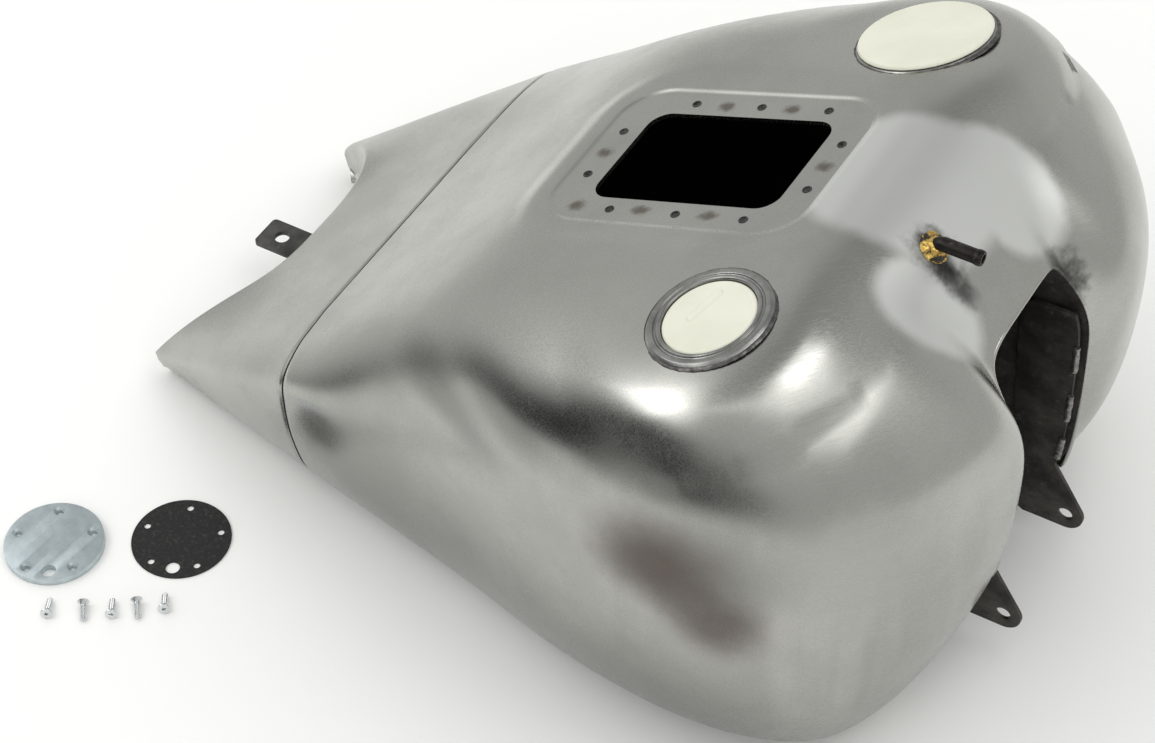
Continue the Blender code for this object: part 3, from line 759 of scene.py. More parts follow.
def flange_steel():
    """The pump flange: bare steel with smudged heat spots between its screw holes."""
    finish = Finish("flange_steel")
    colour, rough, height = steel_base(finish)
    frame_of_pump = pump_matrix()
    for x, y in flange_heat_spots():
        centre = frame_of_pump @ Vector((x, y, 0))
        radii = (HEAT_SPOTS_R * 1.3, HEAT_SPOTS_R, HEAT_SPOTS_R * 2)
        mask = finish.patch(centre, radii, 0, 0.7, 0.5, 160.0)
        colour = finish.mix(finish.product(mask, 0.8), colour, (0.12, 0.10, 0.08))
    return finish.surface(colour, rough, 1.0, height, 0.02 * MM, 0.6)


def dark_steel(name, colour_a=(0.030, 0.029, 0.027), colour_b=(0.085, 0.078, 0.068), shine=0.42):
    """Black mill scale with worn, browner patches."""
    finish = Finish(name)
    cloud = finish.noise(45.0, 6.0, 0.65)
    fine = finish.noise(700.0, 3.0)
    worn = finish.span(finish.noise(120.0, 6.0, 0.7), 0.55, 0.72)
    colour = finish.clouded(cloud, 0.35, 0.7, colour_a, colour_b)
    colour = finish.mix(finish.product(worn, 0.5), colour, (0.20, 0.19, 0.17))
    rough = finish.span(fine, 0.2, 0.8, shine, shine + 0.25)
    height = finish.total(finish.product(cloud, 2.0), fine)
    return finish.surface(colour, rough, 0.75, height, 0.05 * MM, 0.7)


def inside_painted_shade():
    """The tank's unlit inside: dull, near-black painted shade."""
    finish = Finish("inside_painted_shade")
    cloud = finish.noise(30.0, 4.0)
    colour = finish.mix(cloud, (0.006, 0.006, 0.006), (0.016, 0.015, 0.013))
    rough = finish.span(cloud, 0.2, 0.8, 0.7, 0.9)
    return finish.set(Base_Color=colour, Roughness=rough, Metallic=0.0)


def turned_steel():
    """Lathe-turned rings: fine concentric grooves about the local z axis, darkened by heat."""
    finish = Finish("turned_steel_rings")
    split = finish.add("ShaderNodeSeparateXYZ")
    finish.link(finish.where, split.inputs[0])
    squares = [finish.product(split.outputs[i], split.outputs[i]) for i in (0, 1)]
    radius = finish.math("SQRT", finish.total(*squares))
    groove = finish.math("SINE", finish.product(radius, 2 * math.pi / (0.45 * MM)))
    cloud = finish.noise(60.0, 5.0, 0.65)
    colour = finish.clouded(cloud, 0.3, 0.7, (0.36, 0.36, 0.35), (0.20, 0.20, 0.19))
    rough = finish.span(cloud, 0.2, 0.8, 0.22, 0.40)
    height = finish.total(finish.product(groove, 0.3), finish.noise(800.0, 2.0))
    return finish.surface(colour, rough, 1.0, height, 0.03 * MM, 0.6)


def weld_metal(name, tint=(0.16, 0.155, 0.15)):
    finish = Finish(name)
    cloud = finish.noise(260.0, 5.0, 0.7)
    colour = finish.clouded(cloud, 0.35, 0.7, tint, tuple(0.4 * c for c in tint))
    rough = finish.span(cloud, 0.2, 0.8, 0.3, 0.5)
    return finish.surface(colour, rough, 0.9, cloud, 0.15 * MM, 0.8)


def brazing():
    """Gold-brown filler metal with black flux burnt onto it."""
    finish = Finish("brazing_metal")
    cloud = finish.noise(180.0, 6.0, 0.7, distortion=0.6)
    flux = finish.span(finish.noise(110.0, 5.0, 0.65, distortion=0.4), 0.46, 0.56)
    colour = finish.clouded(cloud, 0.3, 0.7, (0.80, 0.56, 0.16), (0.50, 0.30, 0.07))
    colour = finish.mix(flux, colour, (0.02, 0.015, 0.01))
    rough = finish.mix_value(flux, 0.30, 0.50)
    metal = finish.mix_value(flux, 0.9, 0.2)
    return finish.surface(colour, rough, metal, cloud, 0.3 * MM, 0.8)


def ivory_plastic():
    finish = Finish("ivory_plastic")
    cloud = finish.noise(22.0, 4.0)
    fine = finish.noise(1500.0, 2.0)
    grime = finish.span(finish.noise(70.0, 6.0, 0.7), 0.60, 0.80)
    colour = finish.clouded(cloud, 0.3, 0.7, (0.71, 0.71, 0.61), (0.65, 0.655, 0.55))
    colour = finish.mix(finish.product(grime, 0.18), colour, (0.45, 0.43, 0.35))
    rough = finish.span(cloud, 0.2, 0.8, 0.38, 0.50)
    finish.shader.inputs["Subsurface Weight"].default_value = 0.15
    finish.shader.inputs["Subsurface Radius"].default_value = mm(2, 2, 1.4)
    finish.shader.inputs["IOR"].default_value = 1.50
    return finish.surface(colour, rough, 0.0, fine, 0.02 * MM, 0.4)


def zinc(name, light, dark, shine, wear=0.25):
    finish = Finish(name)
    cloud = finish.noise(130.0, 5.0, 0.6)
    spangle = finish.noise(420.0, 3.0, 0.6)
    line = finish.scratches((0, 0, 20), 0.5, 0.02)
    colour = finish.clouded(cloud, 0.3, 0.7, light, dark)
    colour = finish.mix(finish.span(spangle, 0.55, 0.8, 0.0, wear), colour, (0.30, 0.34, 0.35))
    rough = finish.total(finish.span(spangle, 0.2, 0.8, shine, shine + 0.14),
                        finish.span(line, 0.4, 0.7, 0.0, 0.05))
    return finish.surface(colour, rough, 1.0, finish.total(spangle, line), 0.02 * MM, 0.5)


def gasket_fibre():
    finish = Finish("gasket_fibre_face")
    fibre = finish.noise(900.0, 4.0, 0.8)
    flake = finish.span(finish.noise(350.0, 3.0, 0.7), 0.5, 0.75)
    colour = finish.mix(flake, (0.012, 0.013, 0.013), (0.045, 0.043, 0.038))
    rough = finish.span(fibre, 0.2, 0.8, 0.7, 0.95)
    return finish.surface(colour, rough, 0.0, fibre, 0.1 * MM, 0.8)


def seal_rubber():
    finish = Finish("seal_rubber_face")
    fine = finish.noise(600.0, 3.0)
    colour = finish.mix(fine, (0.015, 0.015, 0.015), (0.035, 0.035, 0.034))
    return finish.surface(colour, finish.span(fine, 0.2, 0.8, 0.6, 0.8), 0.0, fine, 0.05 * MM, 0.5)


def dress(obj, material, body, slot, *replaced):
    """Gives a piece its finish, its body and the CAD nodes it stands for; its record slot is not
    used.
    """
    obj.data.materials.clear()
    obj.data.materials.append(material)
    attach(obj, body)
    for node in replaced:
        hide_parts(node)
    return obj


def dark_inside(obj):
    """Painted shade of the unlit inside, on the faces that look towards the section's middle."""
    middle = Vector((0, 0, 120 * MM))
    obj.data.materials.append(PAINTED_SHADE_INSIDE)
    for polygon in obj.data.polygons:
        towards = middle - polygon.center
        towards.x *= 0.3
        if abs(polygon.center.y) > TUNNEL_HALF:
            towards.y = math.copysign(TUNNEL_HALF * 2, polygon.center.y) - polygon.center.y
        if polygon.center.x > TIP_X and polygon.normal.dot(towards) > 0.3 * towards.length:
            polygon.material_index = 1


# ---------------------------------------------------------------- welded tank

# Section positions up to which the top skin is cut into so many steps.
DECK_STATIONS = ((2.6, 30), (5.2, 120), (LAST, 60))


def top_skin():
    seam = [SEAM_AT + SEAM_GAP + step for step in SEAM_STEPS]
    stations = list(seam)
    for end, count in DECK_STATIONS:
        stations += list(np.linspace(stations[-1], end, count))[1:]
    obj = skin("top_skin_sheet", stations)
    vent = Matrix.Translation(deck_frame(*VENT_AT).translation)
    hole = plate("pump_cut", [grown_outline(RECESS_RIM - 0.2 * MM)], 40 * MM, pump_matrix())
    return cut(obj, hole, cylinder("neck_cut", NECK_R + 0.05 * MM, 30 * MM, bung_matrix(-1)),
               cylinder("cup_cut", CUP_R + 0.05 * MM, 30 * MM, bung_matrix(1)),
               cylinder("vent_cut", VENT_R + 0.4 * MM, 8 * MM, vent, 32))


def tail_skin():
    seam = [SEAM_AT - SEAM_GAP - step for step in reversed(SEAM_STEPS)]
    stations = list(np.linspace(0, seam[0], 42)) + seam[1:]
    return finish_mesh(skin("tail_skin_sheet", stations, TAIL_POINTS))


def tunnel_roof(x, y):
    """Height of the tunnel's roof at x, y: flat, and rounded down at its sides."""
    top, wide = tunnel_top(x), TUNNEL_CORNER[0]
    tall = min(TUNNEL_CORNER[1], 0.6 * top)
    out = max(abs(y) - (TUNNEL_HALF - wide), 0) / wide
    return top - tall * (1 - math.sqrt(max(1 - out * out, 0)))


def tail_wall():
    """The tail's end: the skin rolls over its rear edge into a wall that closes the tail."""
    turns = even_turns(0, 70, 1)
    rim = [Vector(skin_point(0, turn)) for turn in turns]
    _, under_y, under_z = zip(*[skin_point(0, 2 - step / 16) for step in range(17)])
    rows = [[] for _ in range(ROLL_STEPS + 5)]
    for i, (point, turn) in enumerate(zip(rim, turns)):
        back = (point - Vector(skin_point(0.02, turn))).normalized()
        along = rim[min(i + 1, len(rim) - 1)] - rim[max(i - 1, 0)]
        inward = back.cross(along).normalized()
        for step in range(ROLL_STEPS + 1):
            angle = math.pi / 2 * step / ROLL_STEPS
            turn_in = math.sin(angle) * back + (1 - math.cos(angle)) * inward
            rows[step].append(point + TAIL_ROLL * turn_in)
        top = rows[ROLL_STEPS][-1]
        low = (tunnel_roof(top.x, top.y) - 0.5 * SHEET if top.y < TUNNEL_HALF
               else float(np.interp(top.y, under_y, under_z)) + 1 * MM)
        foot = Vector((point.x + 1 * MM, top.y, min(low, top.z)))
        for step in range(1, 5):
            rows[ROLL_STEPS + step].append(top.lerp(foot, ease(step / 4)))
    rows = [both_sides(row) for row in rows]
    obj = add_object("tail_wall_sheet", grid_mesh("tail_wall_sheet", rows))
    weld_doubles(obj.data)
    if sum(face.normal.x * face.area for face in obj.data.polygons) > 0:
        obj.data.flip_normals()
    solidify(obj)
    return finish_mesh(obj)


def notch_bead():
    """The weld that runs round the notch's rim, ground to a soft light edge."""
    half = [Vector(skin_point(LAST, turn)) for turn in even_turns(LAST, 80, 1.9)]
    path = [p - Vector(mm(1.2, 0, 0.6)) for p in both_sides(half)]
    return finish_mesh(tube("notch_bead_weld", path, 1.6 * MM, 4))


def pump_holes():
    sides = [(i * PUMP_HOLE_PITCH - PUMP_SHIFT, s * PUMP_HOLE_SPREAD / 2)
             for i in (-1, 0, 1) for s in (-1, 1)]
    ends = [(s * PUMP_END_SPAN / 2, t * PUMP_END_SPREAD / 2) for s in (-1, 1) for t in (-1, 1)]
    return sides + ends


def flange_heat_spots():
    """Smudges of spot welds, about midway between neighbouring holes."""
    sides = [((i + 0.47) * PUMP_HOLE_PITCH - PUMP_SHIFT, s * (PUMP_HOLE_SPREAD / 2 - 1 * MM))
             for i, s in ((-2, -1), (-1, -1), (0, -1), (-1, 1), (0, 1))]
    ends = [(s * PUMP_END_SPAN / 2, 0) for s in (-1, 1)]
    return sides + ends


def grown_outline(out):
    length, width, corner = PUMP_OUTER
    return rounded_rectangle(length + 2 * out, width + 2 * out, corner + out)


def recess_step():
    """The pressed border of the pump's recess: it rises from the flange to the deck."""
    matrix = pump_matrix()
    rows = [[matrix @ Vector((x, y, up)) for x, y in grown_outline(out)] for out, up in RECESS_STEP]
    rows = [row + row[:1] for row in rows]
    obj = add_object("recess_step_sheet", grid_mesh("recess_step_sheet", rows))
    weld_doubles(obj.data)
    if obj.data.polygons[0].normal.z < 0:
        obj.data.flip_normals()
    solidify(obj)
    return finish_mesh(obj)


def pump_flange():
    loops = [rounded_rectangle(*PUMP_OUTER), rounded_rectangle(*PUMP_INNER)]
    loops += [circle(PUMP_HOLE_R, 24, x, y) for x, y in pump_holes()]
    obj = plate("pump_flange_plate", loops, PUMP_PLATE)
    obj.data.transform(pump_matrix(-PUMP_PLATE / 2))
    return finish_mesh(obj)


def flange_inserts():
    """A raised, tapped insert in each of the flange's holes."""
    depth, threads = 3.2 * MM, 6
    profile = offsets(PUMP_HOLE_R, (0.7, 0.02), (0.55, 0.45), (-0.3, 0.45))
    for i in range(threads):
        z = -depth * i / threads
        profile += [(PUMP_HOLE_R - 0.35 * MM, z),
                    (PUMP_HOLE_R - 0.05 * MM, z - 0.5 * depth / threads)]
    profile += [(PUMP_HOLE_R - 0.3 * MM, -depth), (PUMP_HOLE_R + 0.7 * MM, -depth)]
    parts = [turned(f"insert_{i}", profile, pump_matrix() @ Matrix.Translation((x, y, 0)), 24)
             for i, (x, y) in enumerate(pump_holes())]
    return joined("pump_flange_inserts", parts)


def joined(name, parts):
    """One object, in world coordinates, from several."""
    bm = bmesh.new()
    for part in parts:
        mesh = part.data.copy()
        mesh.transform(part.matrix_world)
        bm.from_mesh(mesh)
        bpy.data.meshes.remove(mesh)
    mesh = bpy.data.meshes.new(name)
    bm.to_mesh(mesh)
    bm.free()
    remove(*parts)
    obj = add_object(name, mesh)
    return finish_mesh(obj)


def filler_neck():
    """Ring with an outer land, a groove and an inner lip, and a ledge under its plain bore."""
    rim, low = 3, NECK_LEDGE - 2.5 * MM
    profile = (offsets(NECK_R, (-0.6, 1.4), (0, 0.8), (0, -8)) + offsets(NECK_BORE_R, (3, -10))
               + [(NECK_BORE_R + 3 * MM, low), (LEDGE_R, low), (LEDGE_R, NECK_LEDGE),
                  (NECK_BORE_R, NECK_LEDGE)]
               + offsets(NECK_BORE_R, (0, rim - 1.0), (0.9, rim), (2.6, rim), (3.1, rim - 1.2),
                         (4.3, rim - 1.3), (4.8, rim - 0.4))
               + offsets(NECK_R, (-2.2, rim - 0.4)))
    return turned("filler_neck_ring", profile, bung_matrix(-1), 128, 0.5 * MM)


def filler_plug():
    """White screw plug with a soft raised bar."""
    end = -11.6 * MM
    inner = PLUG_R - 3 * MM
    profile = [mm(0, 1.5), (PLUG_R - 5 * MM, 1.45 * MM), (PLUG_R - 3 * MM, 1.4 * MM),
               (PLUG_R - 1.2 * MM, 1.9 * MM), (PLUG_R, 1.2 * MM), (PLUG_R, -1 * MM)]
    pitch = 2.4 * MM
    for i in range(4):
        z = -1.2 * MM - i * pitch
        profile += [(PLUG_R, z), (PLUG_R - 0.8 * MM, z - pitch / 2)]
    profile += [(PLUG_R - 0.2 * MM, end), (inner, end), (inner, -2 * MM), mm(0, -2)]
    plug = turned("filler_plug_cap", profile, bung_matrix(-1), 128, 0.4 * MM)
    bar = turned("plug_bar", [mm(0, 1.4), mm(1.6, 1.1), mm(2.6, 0.5),
                              mm(3.2, -0.3), mm(0, -0.3)], None, 32, 0.6 * MM)
    reach = BAR_SIZE[0] / 2 - 3.2 * MM
    for v in bar.data.vertices:
        if abs(v.co.x) > 0.01 * MM:
            v.co.x += math.copysign(reach, v.co.x)
    bar.matrix_world = (bung_matrix(-1) @ Matrix.Translation((*BAR_AT, 1.5 * MM))
                        @ Matrix.Rotation(BAR_TURN, 4, "Z"))
    return cut(plug, bar, operation="UNION")


def filler_plug_seal():
    top, low = NECK_LEDGE + 2.5 * MM, NECK_LEDGE + GAP
    outer, inner = PLUG_R - 0.1 * MM, LEDGE_R + 0.3 * MM
    profile = [(outer, top), (outer, low), (inner, low), (inner, top)]
    return turned("filler_plug_seal_ring", profile, bung_matrix(-1), 96, 0.8 * MM)


def gauge_cup():
    wall, seat = CUP_BORE_R + CUP_WALL, COVER_R + 1 * MM
    rim, floor = 1.6 * MM, -CUP_DEPTH
    profile = offsets(CUP_R, (-1, 1.6), (0, 0.6), (0, -4))
    profile += [(wall, -6 * MM), (wall, floor - CUP_WALL), (seat, floor - CUP_WALL), (seat, floor),
                (CUP_BORE_R, floor), (CUP_BORE_R, rim)]
    return turned("gauge_cup_ring", profile, bung_matrix(1), 128, 0.5 * MM)


def gauge_cap():
    """White push-on cap: a shallow step round its middle, and a skirt into the cup."""
    low, high, end = mm(1.9, 5.3, -9)
    skirt = CUP_BORE_R - 0.4 * MM
    inner = skirt - 1.8 * MM
    profile = ([(0, high - 0.5 * MM)]
               + offsets(CAP_R, (-14, 4.85), (-12.5, 5.2), (-3, 5.3), (-0.8, 4.3),
                         (0, 2.7), (-0.2, 1.9))
               + [(skirt, low), (skirt - 0.3 * MM, end), (inner, end), (inner, high - 2 * MM),
                  (0, high - 2 * MM)])
    return turned("gauge_cap_disc", profile, bung_matrix(1), 128, 1.2 * MM)


def fillet_ring(name, radius, side):
    """The weld around a bung: a low, uneven bead on the deck against the ring."""
    profile = offsets(radius, (-0.3, 1.2), (0.6, 1.0), (1.7, 0.25), (2.2, -0.4), (-0.3, -0.8))
    ring = turned(name, profile, bung_matrix(side), 220, 0.4 * MM)
    return ripple(ring, 0.28 * MM, 3.2 * MM, side)


def filler_neck_weld():
    return fillet_ring("filler_neck_weld", NECK_R, -1)


def gauge_cup_weld():
    return fillet_ring("gauge_cup_weld", CUP_R, 1)


def vent_path(below, reach, steps=14):
    base = deck_frame(*VENT_AT).translation
    path = [base + Vector((0, 0, -below))]
    for step in range(steps + 1):
        angle = math.pi / 2 * step / steps
        path.append(base + Vector((VENT_BEND - VENT_BEND * math.cos(angle), 0,
                                   VENT_RISE - VENT_BEND + VENT_BEND * math.sin(angle))))
    path.append(base + Vector((reach, 0, VENT_RISE)))
    return path


def vent_tube():
    pipe = tube("vent_elbow", vent_path(9 * MM, VENT_REACH), VENT_R)
    bore = tube("vent_bore", vent_path(12 * MM, VENT_REACH + 3 * MM), VENT_R - VENT_WALL)
    cut(pipe, bore)
    bevel(pipe, 0.5 * MM, 3)
    return finish_mesh(pipe, 50)


def vent_barb():
    """The rolled end of the vent, which holds its hose."""
    base = deck_frame(*VENT_AT).translation
    forward = (Matrix.Translation(base + Vector((VENT_REACH - 3.2 * MM, 0, VENT_RISE)))
               @ Matrix.Rotation(math.pi / 2, 4, "Y"))
    profile = offsets(VENT_R, (-0.2, 3), (0.35, 2.2), (0.45, 0.2), (0.1, -1.6), (-0.2, -2))
    return turned("vent_rolled_end", profile, forward, 48, 0.5 * MM)


def vent_braze():
    """The uneven collar of filler metal round the foot of the vent."""
    profile = offsets(VENT_R, (-0.4, 5.5), (1.2, 4.2), (3.2, 2.2), (5.5, 0.1), (5.5, -0.5),
                      (-0.4, -0.5))
    collar = turned("vent_braze_collar", profile, deck_frame(*VENT_AT), 96, 0.9 * MM)
    subdivide(collar, 1)
    ripple(collar, 1.1 * MM, 3.6 * MM, 5.0)
    return finish_mesh(ripple(collar, 0.35 * MM, 1.2 * MM, 9.0), 180)


# Underside.
def tunnel_top(x):
    (front_x, front_z), (rear_x, rear_z) = TUNNEL_FRONT_TOP, TUNNEL_REAR_TOP
    return rear_z + (front_z - rear_z) * (x - rear_x) / (front_x - rear_x)


def floor_inner_x(at):
    return section_values(at)[5] + TAIL_SWEEP * max(0, 1 - at) ** 2


def tunnel_foot(x):
    """Height of the tank's floor along the tunnel at x."""
    stations = np.linspace(0, LAST, 60)
    feet = [section_values(at) for at in stations]
    return float(np.interp(x, [floor_inner_x(at) for at in stations], [row[7] for row in feet]))


def rim_x(z):
    """How far forward the rim of the notch reaches at height z."""
    return skin_point(LAST, bisect(lambda turn: skin_point(LAST, turn)[2] > z, 0, 2))[0]


def tunnel():
    """The tunnel's sheet; towards the front it flares out to meet the rim of the notch."""
    corner_steps, rows_count, wall_rows = 14, 60, 8
    rim = np.array([skin_point(LAST, turn) for turn in even_turns(LAST, 200)])
    rim_share = np.linspace(0, 1, len(rim))
    rows = []
    for step in range(rows_count + 1):
        share = step / rows_count
        x = TUNNEL_REAR_TOP[0] + (TUNNEL_FRONT_TOP[0] - TUNNEL_REAR_TOP[0]) * share
        foot, top = tunnel_foot(x), tunnel_top(x)
        wide, tall = TUNNEL_CORNER[0], min(TUNNEL_CORNER[1], 0.6 * (top - foot))
        half = [(0.0, top)]
        for k in range(corner_steps + 1):
            angle = math.pi / 2 * k / corner_steps
            half.append((TUNNEL_HALF - wide + wide * math.sin(angle),
                         top - tall + tall * math.cos(angle)))
        side_top = half[-1][1]
        half += [(TUNNEL_HALF, side_top + (foot - side_top) * k / wall_rows)
                 for k in range(1, wall_rows + 1)]
        lead = ease((share - 0.9) / 0.1)
        steps = np.linalg.norm(np.diff(half, axis=0), axis=1)
        along = np.concatenate([[0], np.cumsum(steps)]) / steps.sum()
        end = np.column_stack([np.interp(along, rim_share, column) for column in rim.T])
        half = [Vector((x, y, z)).lerp(Vector(goal) - Vector((RIM_BACK, 0, 0)), lead)
                for (y, z), goal in zip(half, end)]
        rows.append(both_sides(half))
    obj = add_object("tunnel_sheet", grid_mesh("tunnel_sheet", rows))
    solidify(obj)
    return finish_mesh(obj)


def bracket_outline():
    hole_x, hole_z = EAR_HOLE
    top = 216 * MM
    heights = np.linspace(top, 76 * MM, 24)
    front = [(rim_x(z) - 5 * MM, z) for z in heights]
    ear = [(hole_x + EAR_R * math.cos(a), hole_z + EAR_R * math.sin(a))
           for a in np.radians(np.linspace(35, -90, 14))]
    back = [(205 * MM, hole_z - EAR_R), mm(200, 24), mm(194, 75), mm(190, 150),
            (188 * MM, top - 8 * MM), (196 * MM, top)]
    return front + ear + back


def bracket_matrix(side):
    middle = side * (TUNNEL_HALF - SHEET - GAP - BRACKET_THICK / 2)
    return Matrix.Translation((0, middle, 0)) @ Matrix.Rotation(math.pi / 2, 4, "X")


def front_bracket(side):
    name = "front_bracket_plate_left" if side > 0 else "front_bracket_plate_right"
    loops = [bracket_outline(), circle(EAR_HOLE_R, 40, *EAR_HOLE)]
    obj = plate(name, loops, BRACKET_THICK, bracket_matrix(side))
    bevel(obj, 0.5 * MM, 3)
    return finish_mesh(obj, 50)


def stitch_welds(side):
    """Short weld beads between the bracket's front edge and the rim of the notch."""
    parts = []
    y = side * (TUNNEL_HALF - SHEET - GAP - BRACKET_THICK)
    for k, (z_low, z_high) in enumerate(((84, 104), (122, 146), (168, 190))):
        count = 9
        points = []
        for i in range(count):
            z = (z_low + (z_high - z_low) * i / (count - 1)) * MM
            points.append(Vector((rim_x(z) - 5.5 * MM, y, z)))
        bead = tube(f"stitch_{side}_{k}", points, 2.2 * MM, 5)
        subdivide(bead, 2)
        for v in bead.data.vertices:
            scallop = 0.82 + 0.18 * abs(math.sin(math.pi * (v.co.z - z_low * MM) / (3.4 * MM)))
            v.co.y = y + (v.co.y - y) * scallop
        parts.append(ripple(bead, 0.4 * MM, 2.5 * MM, k + 7.0 * side))
    return joined("stitch_welds_left" if side > 0 else "stitch_welds_right", parts)


def rear_tab():
    end, start = TAB_ENDS
    length = start - end
    loops = [[(x - length / 2, y) for x, y in rounded_rectangle(length, 2 * TAB_HALF, 3.5 * MM)],
             circle(TAB_HOLE_R, 48, TAB_HOLE_X - start, 0)]
    middle = Matrix.Translation((start, 0, TAB_TOP - TAB_THICK / 2))
    obj = plate("rear_tab_plate", loops, TAB_THICK, middle)
    bevel(obj, 0.45 * MM, 3)
    return finish_mesh(obj, 50)


# ---------------------------------------------------------------- loose cover kit

def lying(x, y, z, turn):
    return Matrix.Translation((x * MM, y * MM, z)) @ Matrix.Rotation(math.radians(turn), 4, "Z")


def cover_disc(name, at, thickness, countersunk):
    x, y, turn = at
    matrix = lying(x, y, thickness / 2, turn)
    between = math.pi / 5
    wire = (COVER_WIRE_AT * math.cos(between), COVER_WIRE_AT * math.sin(between))
    loops = [circle(COVER_R, 128), circle(COVER_WIRE_R, 40, *wire)]
    loops += [circle(COVER_HOLE_R, 28, *spot) for spot in circle(COVER_PCD_R, 5)]
    obj = plate(name, loops, thickness, matrix)
    if countersunk:
        for i, spot in enumerate(circle(COVER_PCD_R, 5)):
            cone = [mm(0, 0.2), mm(4.2, 0.2), mm(4.0, 0), (COVER_HOLE_R - 0.2 * MM, -1.9 * MM),
                    mm(0, -1.9)]
            mouth = matrix @ Matrix.Translation((*spot, thickness / 2))
            cut(obj, turned(f"sink_{i}", cone, mouth, 40))
        bevel(obj, 0.35 * MM, 2, 60)
    return finish_mesh(obj, 40)


def cover_screw(number, x, y, turn):
    """Countersunk cross-recess screw with a helical thread, lying on its head's rim and its tip."""
    head, shank, length, rim = SCREW_HEAD_R, SCREW_SHANK_R, SCREW_LENGTH, 0.4 * MM
    pitch, depth, around = 0.8 * MM, 0.32 * MM, 28
    rows = []
    heights = [0.0, 0.0, -0.1 * MM, -rim, -1.6 * MM, -3 * MM]
    radii = [1.2 * MM, head - 0.5 * MM, head - 0.15 * MM, head,
             0.5 * (head + shank) - 0.3 * MM, shank - 0.05 * MM]
    for z, r in zip(heights, radii):
        rows.append([(r * math.cos(a), r * math.sin(a), z)
                     for a in np.linspace(0, 2 * math.pi, around, endpoint=False)])
    steps = int((length - 4 * MM) / (pitch / 8))
    for i in range(steps + 1):
        z = -3.4 * MM - i * pitch / 8
        row = []
        for j in range(around):
            phase = (z / pitch + j / around) % 1
            fade = ease((-3.4 * MM - z) / pitch) * ease((length + z) / (1.5 * pitch))
            tip = 0.5 * MM * ease(1 - (length + z) / (1.2 * MM))
            r = shank - depth * fade * (1 - abs(2 * phase - 1)) - tip
            angle = 2 * math.pi * j / around
            row.append((r * math.cos(angle), r * math.sin(angle), z))
        rows.append(row)
    mesh = grid_mesh(f"screw_{number}", rows, wrap=True)
    with editing(mesh) as bm:
        bmesh.ops.holes_fill(bm, edges=[e for e in bm.edges if e.is_boundary])
        bmesh.ops.recalc_face_normals(bm, faces=bm.faces)
    dip = math.atan2(head - shank, length - rim - 1 * MM)
    height = head * math.cos(dip) + rim * math.sin(dip) + 0.05 * MM
    matrix = lying(x, y, height, turn) @ Matrix.Rotation(dip - math.pi / 2, 4, "Y")
    screw = add_object(f"cover_screw_{number}_body", mesh, matrix)
    slots = []
    for quarter in (0, 1):
        outline = rounded_rectangle(*mm(4.6, 1.0, 0.3), 3)
        slot = plate(f"slot_{quarter}", [outline], 3 * MM)
        for v in slot.data.vertices:
            if v.co.z < 0:
                v.co.x *= 0.35
        slot.matrix_world = (matrix @ Matrix.Rotation(quarter * math.pi / 2 + 0.4 * number, 4, "Z")
                             @ Matrix.Translation(mm(0, 0, -0.1)))
        slots.append(slot)
    return cut(screw, *slots)


# ---------------------------------------------------------------- the object

STEEL = bare_steel()
FLANGE_STEEL = flange_steel()
# Near-black painted shade for the tank's unlit inside.
PAINTED_SHADE_INSIDE = inside_painted_shade()
SCALE_STEEL = dark_steel("black_scale_steel")
TAB_STEEL = dark_steel("tab_steel", (0.05, 0.05, 0.048), (0.12, 0.118, 0.11), 0.36)
INSERT_STEEL = weld_metal("insert_steel", (0.11, 0.11, 0.105))
VENT_STEEL = dark_steel("burnt_steel", (0.012, 0.011, 0.010), (0.035, 0.030, 0.026), 0.25)
RINGS = turned_steel()
WELD = weld_metal("dark_weld")
STITCH = weld_metal("stitch_weld", (0.30, 0.295, 0.28))
BRAZE = brazing()
IVORY = ivory_plastic()
ZINC = zinc("zinc_plate_face", (0.60, 0.67, 0.69), (0.50, 0.57, 0.60), 0.40)
ZINC_SCREW = zinc("zinc_screw_face", (0.74, 0.76, 0.76), (0.62, 0.65, 0.66), 0.18, 0.1)
FIBRE = gasket_fibre()
RUBBER = seal_rubber()

top = dress(top_skin(), STEEL, "root", "bare_steel", "top_skin")
tail = dress(tail_skin(), STEEL, "root", "bare_steel", "tail_skin")
# The inside faces of the skins get the painted shade.
dark_inside(top)
dark_inside(tail)

# Each piece, its finish, its record slot, the CAD nodes it stands for, and its body.
PIECES = [
    (pump_flange, FLANGE_STEEL, "bare_steel", "pump_flange"),
    (recess_step, STEEL, "bare_steel"),
    (tail_wall, STEEL, "bare_steel", "tail_plate"),
    (flange_inserts, INSERT_STEEL, "bare_steel"),
    (notch_bead, STEEL, "bare_steel"),
    (filler_neck, RINGS, "turned_steel", "filler_neck"),
    (filler_neck_weld, WELD, "turned_steel"),
    (filler_plug, IVORY, "white_plastic", "filler_plug", "filler_plug"),
    (filler_plug_seal, RUBBER, "seal_rubber", "filler_plug_seal", "filler_seal"),
    (gauge_cup, RINGS, "turned_steel", "gauge_cup"),
    (gauge_cup_weld, WELD, "turned_steel"),
    (gauge_cap, IVORY, "white_plastic", "gauge_cap", "gauge_cap"),
    (vent_tube, VENT_STEEL, "dark_steel", "vent_tube"),
    (vent_barb, VENT_STEEL, "dark_steel"),
    (vent_braze, BRAZE, "brazing_brass", "vent_braze"),
    (tunnel, SCALE_STEEL, "dark_steel", "tunnel")]
for make, finish, slot, *rest in PIECES:
    dress(make(), finish, rest[1] if len(rest) > 1 else "root", slot, *rest[:1])
for hand, word in ((1, "left"), (-1, "right")):
    dress(front_bracket(hand), SCALE_STEEL, "root", "dark_steel", "front_bracket_" + word)
    dress(stitch_welds(hand), STITCH, "root", "dark_steel")
dress(rear_tab(), TAB_STEEL, "root", "dark_steel", "rear_tab")
